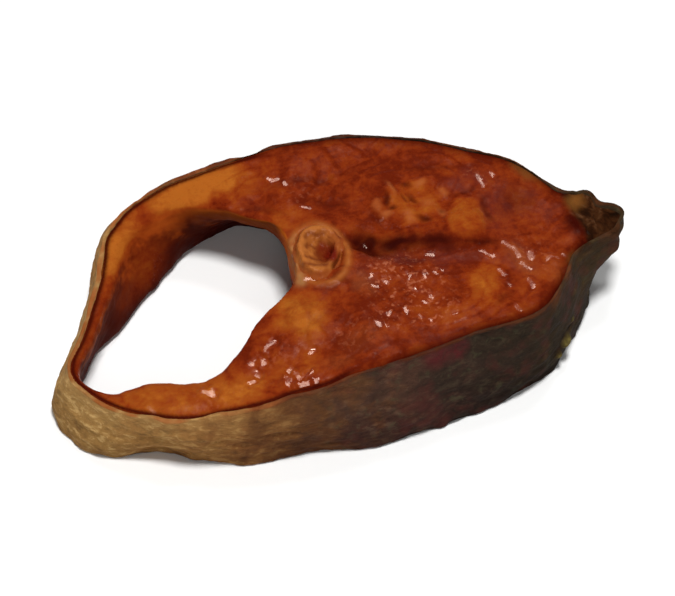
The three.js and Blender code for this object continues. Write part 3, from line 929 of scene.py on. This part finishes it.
class Marks:
    """What each point of the flesh shows, mostly as shares between 0 and 1."""

    def __init__(self, p, n, from_skin):
        x, y, z = p.T
        self.crumpled = warped(p, *CRUMPLED)
        for name, ovals in OVALS.items():
            setattr(self, name, patches(self.crumpled, ovals))
        self.up = rise(n[:, 2], 0.35, 0.4)
        self.wall = fall(n[:, 2], 0.75, 0.6) * rise(from_skin, 1.6, 2)
        self.behind = 1 - rise(from_skin, 0.5, 0.8)
        self.ends = patches(warped(p, END_WARP), MUSCLE_ENDS)
        self.band = beside_vertebra(p)
        self.membrane = along_path(p, MEMBRANE, MEMBRANE_HALF_WIDTH) * rise(z, 15, 6)
        self.finned = smooth((x - FIN_START + 1.3 * noise(p, 3, 97)) / 2)
        self.finned *= fall(np.abs(y - FIN_MIDDLE), FIN_HALF_WIDTH, 3)
        self.find_seam(p)
        self.find_muscle(p)
        self.stroke, self.off_stroke = strokes(p, warped(p, STROKE_WARP), n)
        self.calm = rise(from_skin, 0, 3)
        self.calm *= 1 - 0.9 * smooth(1 - self.off_stroke / 1.2)

    def find_seam(self, p):
        self.seam = along_path(self.crumpled, SEAM, SEAM_HALF_WIDTH) * fall(p[:, 0], 40, 22)
        gaps = patches(self.crumpled, SEAM_GAPS)
        # Painted shade along the seam's crevice, broken by a few gaps.
        self.painted_seam_shade = self.seam * (0.72 + 0.35 * noise(p, 2.8, 98)) * (1 - gaps)

    def find_muscle(self, p):
        self.lobe = lobes(warped(p, *LOBE_WARP), LOBE_PITCH, LOBE_TURN, 21)
        self.across = flakes(p)
        edge = np.minimum(self.across, 1 - self.across) * FLAKE_SPACING
        self.flaky = smooth(0.5 + 0.8 * noise(p, 9, 23)) * (1 - self.lobed) * (1 - 0.8 * self.grainy)
        self.flaky *= 1 - 0.6 * patch(p, *UNFLAKED)
        self.furrow = np.exp(-(edge / 0.5) ** 2) * self.flaky


def cut_relief(p, m):
    """Relief of the upper cut, in mm."""
    return (UNEVEN * layered(p, 5.5, 17) + ROUGH * layered(p, 2.2, 27, 2)
            + FLAKE_RELIEF * m.flaky * np.minimum(m.across, (1 - m.across) * 5)
            - SEAM_RELIEF * m.seam - CANAL_DEPTH * patches(m.crumpled, DARK[:1])
            - DARK_DEPTH * m.dark + pads(m.crumpled)
            + LOBE_RELIEF * m.lobed * (m.lobe - 0.6) + MUSCLE_END_HEIGHT * m.ends
            + GRAIN_RELIEF * m.grainy * beads(m.crumpled, GRAIN_PITCH, 31)
            + FINE_GRAIN * m.grainy * layered(p, 1.3, 36, 2)
            + STRAY_BEADS * beads(m.crumpled, 1.8, 35, 0.35) + BAND_HEIGHT * m.band)


def wall_relief(p):
    """Relief of the belly cavity's wall, in mm."""
    return WALL_RELIEF[0] * layered(p, (5, 5, 3), 19) + WALL_RELIEF[1] * layered(p, 1.5, 38, 2)


def sunk_behind_skin(p, m, rim_points):
    """How far the flesh draws back behind the skin, in mm."""
    rim_depth, full_depth = FLESH_BEHIND_SKIN
    below = rise(under_rim(p, rim_points), 1.2, 2.5)
    return (rim_depth + (full_depth - rim_depth) * below) * m.behind * (1 - m.up)


def shape_flesh(piece, skin_points, rim_points):
    """Gives the flesh its relief and masks. Returns where it is satin and where it is glazed."""
    p = places(piece)
    n = normals(piece)
    from_skin = nearest_distances(p, skin_points)
    m = Marks(p, n, from_skin)
    relief = m.up * m.calm * cut_relief(p, m)
    relief += m.up * m.stroke
    relief += m.wall * wall_relief(p)
    relief += m.up * m.finned * layered(p, 3.0, 43)
    relief -= sunk_behind_skin(p, m, rim_points)
    relief -= EDGE_DEPTH * m.behind * m.up
    put_places(piece, knobbed(p + n * relief[:, None]))
    paint_flesh(piece, p, m, from_skin)
    return wet_places(p, m, from_skin)


def paint_flesh(piece, p, m, from_skin):
    """Puts the masks that the flesh's colours read on its points."""
    x, y = p[:, 0], p[:, 1]
    near_line = np.exp(-((from_skin - 1.3) / 0.6) ** 2) * fall(x, -2, 8)
    back_edge = np.exp(-(from_skin / 2.2) ** 2) * rise(x, -15, 25)
    # Painted shade: under_edge darkens the cavity's wall under the far overhang, and gap darkens the gaps
    # between the lobes.
    under_edge = rise(x, -38, 14) * rise(y, 8, 4) * m.wall
    gap = m.lobed * (1 - m.lobe)
    dark = np.maximum(np.maximum(m.dark, m.painted_seam_shade), 0.3 * gap) * m.up
    dark = np.maximum(dark, patches(m.crumpled, (BEFORE_FIN,)))
    masks = {
        # On lobed flesh the tone is raised on the lobes' tops and lowered in their gaps: painted light and
        # shade.
        "fat": (m.fat + 0.16 * m.ends + 0.34 * m.lobed * (m.lobe - 0.4)) * m.up,
        "dark": np.maximum(dark, 0.7 * under_edge),
        "near_skin": np.maximum(0.85 * back_edge, near_line) * m.up,
        "tan": m.band * m.up * (0.8 + 0.3 * noise(p, 1.4, 44)),
        "pale": m.membrane * (0.6 + 0.5 * noise(p, 1.2, 45)),
        "finned": m.finned,
        "wall": m.wall,
    }
    for name in ("painted_sheen", "grainy", "plum", "furrow", "olive"):
        masks[name] = getattr(m, name) * m.up
    for name, values in masks.items():
        paint(piece, name, values)


def wet_places(p, m, from_skin):
    """How satin each point is, and whether it is glazed."""
    satin = np.maximum(m.satin, np.maximum(1.4 * m.wall, 1.4 * m.seam))
    satin = np.maximum(satin, 1.5 * fall(from_skin, 2.3, 0.8))
    glazed = (m.off_stroke < 0.12) & (m.up > 0.5)
    glazed |= (m.grainy > 0.45) & (from_skin > 1.5) & (noise(p, 1.2, 68) > 0.42)
    return satin, glazed


# Name, gloss, roughness and strength of the bumps.
FLESH_FINISHES = (
    ("moist_flesh", 0.045, 0.26, 1.0),
    ("satin_flesh", 0.006, 0.45, 1.0),
    ("glazed_flesh", 0.38, 0.16, 0.25),
)
GLAZED = 2


def coat_flesh(piece, satin, glazed):
    """Moist, satin and glazed finish, face by face; the first two mix in a fine scatter."""
    for finish in FLESH_FINISHES:
        piece.data.materials.append(flesh_finish(*finish))
    corners = np.empty(len(piece.data.loops), np.int64)
    piece.data.loops.foreach_get("vertex_index", corners)
    starts = np.empty(len(piece.data.polygons), np.int64)
    piece.data.polygons.foreach_get("loop_start", starts)
    number = np.column_stack([starts, starts * 0, starts * 0])
    coat = (satin[corners[starts]] > 0.5 + 0.4 * hashed(number, 99)).astype(np.int32)
    coat[glazed[corners[starts]]] = GLAZED
    piece.data.polygons.foreach_set("material_index", coat)


# ---------- vertebra ----------

VERTEBRA_SIDES = 72
VERTEBRA_TOP = 25.9
VERTEBRA_RADII = (5.1, 6.6)
VERTEBRA_LEAN = (3.2, 1.6)
VERTEBRA_SLANT = 0.2         # how far the upper end leans along X, for each mm along Y
RIM_SHARE = 0.72
CUP_DEPTH = 3.6
CUP_CURVE = 1.25
CUP_LEAN = (2.2, -0.8)
GROWTH_RINGS = 3
RING_LOOPS = 8
RING_RELIEF = 0.03
RIM_WAVE = 0.05
BARREL_ROWS = 12
BARREL_WAIST = 0.1
LOWER_RIM = ((0.93, 0.05), (1.0, 0.3))      # share of the radii, height
LOWER_CUP = 0.2
VERTEBRA_RELIEF = (0.3, 0.14)
ARC_DEPTH = 0.12
BONE_WARP = (0.5, 2.2, 203)    # longest push, pitch, seed
# The flange that laps over the flesh: share of the radii, height over the flesh.
FLANGE = ((1.3, -0.9), (1.21, -0.05), (1.1, 0.02))
# The ring between the flange and the cup: share of the radii, height over the upper end.
RING = ((1.02, 0.05), (0.96, 0.32), (0.88, 0.42), (0.79, 0.26))
# Places in the vertebra: middle, reach, turn, softness, strength.
HOLLOWS = (
    ((-1.9, -0.5), (3.3, 5.2), -12, 0.55, 0.9),
    ((-3.4, -2.6), (2.8, 3.0), -12, 0.9, 0.5),
)
PITS = (
    ((-0.9, -1.4), (2.1, 4.4), -8, 0.6, 1.0),
    ((-2.2, 1.6), (1.7, 1.9), 20, 0.9, 0.6),
)
HOLLOW_LUMP = ((-1.6, 1.0), (1.4, 1.6), 0, 1.0, 0.3)      # the last of these is a height in mm
# Growth arcs: half width, then the path in plan.
ARCS = (
    (0.6, [(-5.4, 4.2), (-4.9, 4.9), (-4.0, 5.1), (-2.9, 4.5), (-1.2, 4.6)]),
    (0.5, [(-6.0, 1.9), (-5.3, 2.5), (-4.4, 2.7), (-3.6, 1.9)]),
    (0.5, [(-6.9, -0.8), (-5.0, -1.4), (-3.8, -1.6)]),
    (0.6, [(-7.9, -3.0), (-5.9, -3.9), (-3.8, -4.6)]),
    (0.8, [(-0.6, 8.4), (1.4, 6.9), (2.1, 4.6), (2.4, 2.4)]),
    (0.6, [(0.9, -5.6), (0.0, -7.0), (-2.0, -7.6)]),
)
RING_BRIGHT = [(-7.9, -2.0), (-7.4, 0.5), (-6.8, 2.4), (-5.2, 4.9), (-3.2, 6.4), (-1.0, 6.7), (0.7, 5.0)]


def ring_points(share, height, sideways=(0, 0)):
    turn = np.arange(VERTEBRA_SIDES) * 2 * math.pi / VERTEBRA_SIDES
    down = 1 - height / VERTEBRA_TOP
    share = share * (1 + RIM_WAVE * np.sin(3 * turn + 0.7) + 0.4 * RIM_WAVE * np.sin(7 * turn))
    across = share * VERTEBRA_RADII[1] * np.sin(turn)
    along = share * VERTEBRA_RADII[0] * np.cos(turn) + VERTEBRA_SLANT * (1 - down) * across
    x = VERTEBRA[0] + VERTEBRA_LEAN[0] * down + sideways[0] + along
    y = VERTEBRA[1] + VERTEBRA_LEAN[1] * down + sideways[1] + across
    return np.column_stack([x, y, np.full(VERTEBRA_SIDES, height)])


def on_flesh(points, gap):
    """Points moved to a height over the solid's upper cut, where that is near."""
    moved = points.copy()
    for point in moved:
        hit = solid_tree.ray_cast(Vector((point[0], point[1], 40)) * MM, Vector((0, 0, -1)))[0]
        near = hit is not None and hit.z / MM > VERTEBRA_TOP - 4
        point[2] = gap + (min(VERTEBRA_TOP + 0.3, hit.z / MM) if near else VERTEBRA_TOP - 2.5)
    return moved


def cup_rings(face, inward):
    """Rings from the rim down to the bottom of a cup; inward is -1 from the top, 1 from the foot."""
    rings = []
    loops = GROWTH_RINGS * RING_LOOPS
    for k in range(loops + 1):
        share = 1 - k / loops
        ridge = RING_RELIEF * math.cos(2 * math.pi * GROWTH_RINGS * share) * smooth(4 * share)
        depth = CUP_DEPTH * (1 - share) ** CUP_CURVE - ridge
        slide = (CUP_LEAN[0] * (1 - share), CUP_LEAN[1] * (1 - share))
        rings.append(ring_points(RIM_SHARE * max(share, 0.02), face + inward * depth, slide))
    return rings


def vertebra_rows():
    """Rings from the bottom of the lower cup, over the outside, to the bottom of the upper one."""
    rows = cup_rings(LOWER_CUP, 1)[::-1]
    for share, height in LOWER_RIM:
        rows.append(ring_points(share, height))
    for k in range(1, BARREL_ROWS):
        height = VERTEBRA_TOP * k / BARREL_ROWS
        rows.append(ring_points(1 - BARREL_WAIST * math.sin(math.pi * k / BARREL_ROWS), height))
    for share, gap in FLANGE:
        rows.append(on_flesh(ring_points(share, VERTEBRA_TOP), gap))
    for share, height in RING:
        rows.append(ring_points(share, VERTEBRA_TOP + height))
    return rows + cup_rings(VERTEBRA_TOP, -1)


def make_vertebra():
    piece, _ = closed_sheet("vertebra", vertebra_rows())
    in_edit_mode(piece, select_all, merge_doubles, close_ends, faces_outward)
    finish_modifier(piece, "SUBSURF", levels=1, render_levels=1)
    shape_vertebra(piece)
    shade_smooth(piece)
    return piece


def shape_vertebra(piece):
    """Gives the vertebra its relief, and the masks that its colours read."""
    p = places(piece)
    n = normals(piece)
    top = rise(p[:, 2], 18, 4)
    crooked = warped(p, BONE_WARP)
    growth = np.max([along_path(crooked, path, half_width) for half_width, path in ARCS], axis=0) * top
    lump = patches(p, (HOLLOW_LUMP,)) * top
    relief = VERTEBRA_RELIEF[0] * layered(p, 2.6, 201) + VERTEBRA_RELIEF[1] * layered(p, 1.0, 202, 2)
    relief = relief + lump - ARC_DEPTH * growth
    put_places(piece, p + n * relief[:, None])
    y = crooked[:, 1] - VERTEBRA[1]
    x = crooked[:, 0] - VERTEBRA[0] - VERTEBRA_SLANT * y
    out = np.hypot(x / VERTEBRA_RADII[0], y / VERTEBRA_RADII[1])
    paint(piece, "deep", patches(crooked, HOLLOWS) * top)
    paint(piece, "pit", patches(crooked, PITS) * top)
    paint(piece, "growth", growth)
    paint(piece, "bright", along_path(crooked, RING_BRIGHT, 0.9) * top)
    paint(piece, "dorsal", rise(p[:, 0], -1.5, 2.5) * top)
    paint(piece, "lip", rise(out, 0.98, 0.16) * top)


def close_ends():
    bpy.ops.mesh.select_all(action="DESELECT")
    bpy.ops.mesh.select_mode(type="EDGE")
    bpy.ops.mesh.select_non_manifold()
    bpy.ops.mesh.edge_face_add()
    bpy.ops.mesh.select_mode(type="VERT")
    bpy.ops.mesh.select_all(action="SELECT")


# ---------- materials ----------


class Finish:
    """One material, made node by node."""

    def __init__(self, name):
        self.material = bpy.data.materials.new(name)
        self.material.use_nodes = True
        self.tree = self.material.node_tree
        self.shader = next(n for n in self.tree.nodes if n.type == "BSDF_PRINCIPLED")
        self.where = self.add("ShaderNodeTexCoord").outputs["Object"]

    def add(self, kind, **settings):
        made = self.tree.nodes.new(kind)
        for name, value in settings.items():
            setattr(made, name, value)
        return made

    def join(self, source, socket):
        self.tree.links.new(source, socket)

    def feed(self, socket, value):
        if isinstance(value, bpy.types.NodeSocket):
            self.join(value, socket)
        else:
            socket.default_value = value

    def mask(self, name):
        return self.add("ShaderNodeAttribute", attribute_name=name).outputs["Fac"]

    def grain(self, size, detail=4.0, rough=0.6, stretch=None, distortion=0.0):
        """Noise whose features are about size mm."""
        made = self.add("ShaderNodeTexNoise")
        made.inputs["Scale"].default_value = 1 / (size * MM)
        made.inputs["Detail"].default_value = detail
        made.inputs["Roughness"].default_value = rough
        made.inputs["Distortion"].default_value = distortion
        where = self.where
        if stretch:
            mapping = self.add("ShaderNodeMapping")
            mapping.inputs["Scale"].default_value = stretch
            self.join(self.where, mapping.inputs["Vector"])
            where = mapping.outputs["Vector"]
        self.join(where, made.inputs["Vector"])
        return made.outputs["Fac"]

    def axis(self, name):
        parts = self.add("ShaderNodeSeparateXYZ")
        self.join(self.where, parts.inputs[0])
        return parts.outputs[name]

    def work_out(self, operation, a, b):
        made = self.add("ShaderNodeMath", operation=operation)
        self.feed(made.inputs[0], a)
        self.feed(made.inputs[1], b)
        return made.outputs[0]

    def sum(self, first, *others):
        for other in others:
            first = self.work_out("ADD", first, other)
        return first

    def times(self, a, b):
        return self.work_out("MULTIPLY", a, b)

    def span(self, value, low, high, to_low=0.0, to_high=1.0, curve="SMOOTHSTEP"):
        made = self.add("ShaderNodeMapRange", interpolation_type=curve)
        self.feed(made.inputs["Value"], value)
        for name, number in zip(("From Min", "From Max", "To Min", "To Max"), (low, high, to_low, to_high)):
            made.inputs[name].default_value = number
        return made.outputs["Result"]

    def spread(self, grain, low, high):
        """A grain's usual range, drawn out to low and high."""
        return self.span(grain, 0.3, 0.7, low, high)

    def ramp(self, value, stops):
        made = self.add("ShaderNodeValToRGB")
        ramp = made.color_ramp
        while len(ramp.elements) < len(stops):
            ramp.elements.new(0.5)
        for element, (at, colour) in zip(ramp.elements, stops):
            element.position = at
            element.color = (*srgb(colour), 1)
        self.feed(made.inputs["Fac"], value)
        return made.outputs["Color"]

    def coats(self, colour, *coats):
        """Colours laid one over another, each with its share."""
        for share, coat in coats:
            made = self.add("ShaderNodeMix", data_type="RGBA", blend_type="MIX")
            self.feed(made.inputs["Factor"], share)
            self.feed(made.inputs[6], colour)
            self.feed(made.inputs[7], (*srgb(coat), 1) if isinstance(coat, tuple) else coat)
            colour = made.outputs[2]
        return colour

    def bumps(self, *layers):
        """Bumps laid one over another: each a height, and its depth in mm for a height of 1."""
        normal = None
        for height, depth in layers:
            made = self.add("ShaderNodeBump")
            made.inputs["Strength"].default_value = 1.0
            made.inputs["Distance"].default_value = depth * MM
            self.feed(made.inputs["Height"], height)
            if normal is not None:
                self.join(normal, made.inputs["Normal"])
            normal = made.outputs["Normal"]
        return normal

    def set(self, **values):
        for name, value in values.items():
            self.feed(self.shader.inputs[name.replace("_", " ")], value)


def srgb(colour):
    """0 to 255 screen numbers as linear ones."""
    c = np.array(colour) / 255
    return tuple(np.where(c <= 0.04045, c / 12.92, ((c + 0.055) / 1.055) ** 2.4))


WET_TINT = (1.0, 0.72, 0.6, 1.0)
FLESH_TONES = [
    (0.0, (98, 27, 7)), (0.25, (123, 42, 12)), (0.5, (138, 57, 16)),
    (0.75, (149, 72, 21)), (1.0, (166, 90, 28))]
WALL_LIGHT_AND_SHADE_TONES = [        # from the foot of the belly cavity to its upper edge: painted shade low down, painted light near the edge
    (0.0, (62, 16, 8)), (0.22, (76, 23, 11)), (0.4, (95, 34, 13)), (0.55, (166, 72, 22)),
    (0.75, (190, 90, 28)), (1.0, (184, 96, 28))]
WALL_HEIGHT = 0.026
STUB_TONES = [(0.3, (22, 11, 5)), (0.45, (40, 19, 8)), (0.58, (62, 34, 16)), (0.72, (94, 62, 40))]
PLUM_COLOUR = (100, 38, 30)
# Painted sparkle: pinkish tan specks laid into the colour as highlights.
PAINTED_SPARKLE_COLOUR = (176, 100, 68)
SPECKLE_COLOUR = (104, 32, 8)
NEAR_SKIN_COLOUR = (56, 9, 4)
PAINTED_SHEEN_COLOUR = (160, 85, 42)
DARK_AND_SHADE_COLOUR = (48, 7, 4)
TAN_COLOUR = (158, 88, 38)
MEMBRANE_COLOUR = (158, 108, 62)
OLIVE_COLOUR = (112, 68, 28)


def wall_colour(f):
    height = f.sum(f.axis("Z"), f.spread(f.grain(8, 3), -0.004, 0.004))
    return f.ramp(f.times(height, 1 / WALL_HEIGHT), WALL_LIGHT_AND_SHADE_TONES)


def flesh_colour(f):
    blotches = f.grain(11, distortion=0.3)
    mottles = f.grain(3.6, distortion=0.5)
    fibres = f.grain(1.5, stretch=(0.4, 1.0, 1.0), distortion=0.4)
    fine = f.grain(1.0, 4, 0.65)
    tone = f.sum(
        f.mask("fat"), f.spread(blotches, 0.02, 0.38), f.spread(mottles, -0.14, 0.14),
        f.spread(fibres, -0.07, 0.07), f.spread(fine, -0.07, 0.07), f.times(f.mask("furrow"), -0.2))
    return f.coats(
        f.ramp(tone, FLESH_TONES),
        (f.times(f.mask("plum"), f.span(mottles, 0.3, 0.6, 1, 0.5)), PLUM_COLOUR),
        # painted sparkle of highlights on the grainy flesh
        (f.times(f.mask("grainy"), f.span(f.grain(1.2, 3, 0.5), 0.54, 0.68, 0, 0.6)), PAINTED_SPARKLE_COLOUR),
        (f.span(fine, 0.52, 0.68, 0, 0.16), SPECKLE_COLOUR),
        (f.mask("near_skin"), NEAR_SKIN_COLOUR),
        # painted light and shade on the cavity's wall, by height
        (f.mask("wall"), wall_colour(f)),
        # painted sheen and highlights
        (f.times(f.mask("painted_sheen"), f.span(mottles, 0.3, 0.6, 0.6, 1)), PAINTED_SHEEN_COLOUR),
        # painted shade, and the flesh's own darker red
        (f.mask("dark"), DARK_AND_SHADE_COLOUR),
        (f.mask("tan"), TAN_COLOUR),
        (f.mask("pale"), MEMBRANE_COLOUR),
        (f.mask("finned"), f.ramp(mottles, STUB_TONES)),
        (f.mask("olive"), OLIVE_COLOUR))


def flesh_finish(name, gloss, roughness, bumpy):
    f = Finish(name)
    f.set(
        Base_Color=flesh_colour(f),
        Roughness=f.spread(f.grain(2.5, 3), roughness, roughness + 0.1 * bumpy),
        Normal=f.bumps((f.grain(0.6, 3), 0.03 * bumpy), (f.grain(1.8, 3, 0.5), 0.09 * bumpy)),
        Specular_IOR_Level=gloss, Specular_Tint=WET_TINT,
        Subsurface_Weight=0.06, Subsurface_Radius=(1.0, 0.25, 0.08), Subsurface_Scale=1.2 * MM)
    return f.material


SKIN_TONES = [        # from the belly tip to the back, along X
    (0.0, (149, 111, 62)), (0.15, (139, 97, 52)), (0.27, (124, 79, 43)), (0.35, (94, 57, 32)),
    (0.5, (66, 42, 34)), (0.66, (46, 32, 27)), (0.78, (40, 30, 23)), (1.0, (50, 37, 25))]
SKIN_PALE = [
    (0.0, (194, 158, 102)), (0.2, (170, 128, 76)), (0.35, (114, 76, 45)), (0.5, (90, 66, 52)),
    (0.66, (68, 55, 44)), (0.8, (56, 47, 36)), (1.0, (78, 61, 38))]
SKIN_DARK = [
    (0.0, (108, 78, 45)), (0.2, (96, 64, 35)), (0.35, (68, 41, 26)), (0.5, (42, 26, 22)),
    (0.66, (26, 19, 16)), (1.0, (20, 15, 12))]
SKIN_EDGE = [
    (0.0, (136, 74, 32)), (0.12, (154, 92, 49)), (0.28, (140, 78, 40)), (0.38, (100, 50, 28)),
    (0.5, (72, 34, 20)), (0.75, (78, 42, 24)), (0.88, (98, 54, 30)), (0.96, (62, 36, 20)),
    (1.0, (38, 24, 13))]
SKIN_SPAN = (-0.068, 0.066)      # from the belly tip to the back, in metres
SKIN_GREEN = (72, 70, 50)
SKIN_RED = (86, 42, 38)
SKIN_PURPLE = (84, 33, 34)
SCRAP_TONES = [(0.35, (66, 52, 26)), (0.6, (118, 104, 54))]


def skin_finish():
    f = Finish("smoked_skin")
    x, z = f.axis("X"), f.axis("Z")
    share = f.span(f.sum(x, f.spread(f.grain(9, distortion=0.4), -0.01, 0.01)), *SKIN_SPAN, curve="LINEAR")
    streaks = f.grain(1.7, 5, 0.66, stretch=(0.5, 0.5, 1.0), distortion=0.4)
    spots = f.grain(2.4, distortion=0.5)
    threads = f.grain(0.8, stretch=(0.5, 0.5, 1.0), distortion=0.3)
    pale, dark = f.ramp(share, SKIN_PALE), f.ramp(share, SKIN_DARK)
    past_belly = f.span(x, -0.03, 0.0)
    colour = f.coats(
        f.ramp(share, SKIN_TONES),
        (f.span(streaks, 0.5, 0.66, 0, 0.9), pale),
        (f.span(streaks, 0.48, 0.32, 0, 0.8), dark),
        (f.span(threads, 0.52, 0.7, 0, 0.35), pale),
        (f.span(threads, 0.48, 0.32, 0, 0.4), dark),
        # Painted light and shade: the skin is paler higher up and darker toward its foot.
        (f.span(z, 0.006, 0.018, 0, 0.3), pale),
        (f.span(z, 0.01, 0.0, 0, 0.36), dark),
        (f.times(f.span(spots, 0.55, 0.7, 0, 0.4), past_belly), SKIN_GREEN),
        (f.times(f.span(f.grain(7, 3), 0.48, 0.7, 0, 0.45), past_belly), SKIN_RED),
        (f.times(f.mask("plum"), f.span(spots, 0.35, 0.6, 0.45, 0.9)), SKIN_PURPLE),
        (f.mask("cut_edge"), f.ramp(share, SKIN_EDGE)),
        (f.mask("scrap"), f.ramp(spots, SCRAP_TONES)))
    f.set(
        Base_Color=colour, Roughness=f.spread(streaks, 0.5, 0.68), Specular_IOR_Level=0.012,
        Normal=f.bumps((f.grain(0.8), 0.12), (threads, 0.16), (streaks, 0.4)))
    return f.material


BONE_TONES = [(0.3, (136, 68, 24)), (0.7, (174, 102, 44))]
BONE_DORSAL = (140, 66, 28)
BONE_BRIGHT = (170, 98, 42)
BONE_HOLLOW = (108, 38, 12)
BONE_LIP = (136, 62, 24)
BONE_ARC = (98, 36, 12)
BONE_PIT = (102, 23, 9)


def bone_finish():
    f = Finish("oily_bone")
    fine = f.grain(1.6)
    colour = f.coats(
        f.ramp(fine, BONE_TONES),
        (f.times(f.mask("dorsal"), 0.6), BONE_DORSAL),
        (f.times(f.mask("bright"), 0.75), BONE_BRIGHT),
        (f.mask("deep"), BONE_HOLLOW),
        (f.times(f.mask("lip"), f.spread(fine, 0.7, 1.0)), BONE_LIP),
        (f.times(f.mask("growth"), 0.65), BONE_ARC),
        (f.mask("pit"), BONE_PIT))
    f.set(
        Base_Color=colour, Roughness=0.32, Specular_IOR_Level=0.11, Specular_Tint=WET_TINT,
        Normal=f.bumps((f.grain(0.5), 0.05), (f.grain(1.3), 0.16)))
    return f.material


# ---------- studio ----------


FLOOR_TONES = [(0.3, (244, 244, 243)), (0.7, (247, 247, 246))]


def floor_finish():
    f = Finish("pale_floor")
    f.set(
        Base_Color=f.ramp(f.grain(60, 3), FLOOR_TONES), Roughness=0.8, Specular_IOR_Level=0.1,
        Normal=f.bumps((f.grain(2, 3), 0.02)))
    return f.material


def make_floor():
    bpy.ops.mesh.primitive_plane_add(size=FLOOR_SIZE)
    floor = bpy.context.object
    floor.name = "floor"
    floor.data.materials.append(floor_finish())


def make_light(name, azimuth, elevation, distance, size, power):
    data = bpy.data.lights.new(name, "AREA")
    data.shape = "DISK"
    data.size = size
    data.energy = power
    lamp = bpy.data.objects.new(name, data)
    bpy.context.scene.collection.objects.link(lamp)
    away = toward(azimuth, elevation)
    lamp.location = away * distance
    lamp.rotation_euler = (-away).to_track_quat("-Z", "Y").to_euler()


def make_world():
    """Pale toward the horizon, dim overhead, so that wet flesh mirrors little of it."""
    world = bpy.data.worlds.new("studio")
    bpy.context.scene.world = world
    world.use_nodes = True
    nodes, links = world.node_tree.nodes, world.node_tree.links
    background = next(n for n in nodes if n.type == "BACKGROUND")
    where = nodes.new("ShaderNodeTexCoord")
    parts = nodes.new("ShaderNodeSeparateXYZ")
    ramp = nodes.new("ShaderNodeValToRGB")
    links.new(where.outputs["Generated"], parts.inputs[0])
    links.new(parts.outputs["Z"], ramp.inputs["Fac"])
    links.new(ramp.outputs["Color"], background.inputs["Color"])
    for element, (at, level) in zip(ramp.color_ramp.elements, WORLD_LEVELS):
        element.position = at
        element.color = (level, level, level, 1)


def make_studio():
    make_floor()
    make_world()
    for light in LIGHTS:
        make_light(*light)


# ---------- the steak, put together ----------

bpy.context.scene.view_settings.view_transform = "Standard"
make_camera()
grid, run = skin_surface()
skin = make_skin(grid, run)
flesh = make_flesh(grid[::3, ::3].reshape(-1, 3), grid[::2, -1])
skin.data.materials.append(skin_finish())
bone = make_vertebra()
bone.data.materials.append(bone_finish())
for piece, slot, node in ((flesh, "flesh", "steak"), (skin, "skin", "steak"), (bone, "bone", "backbone")):
    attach(piece, "root")
    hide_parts(node)
make_studio()
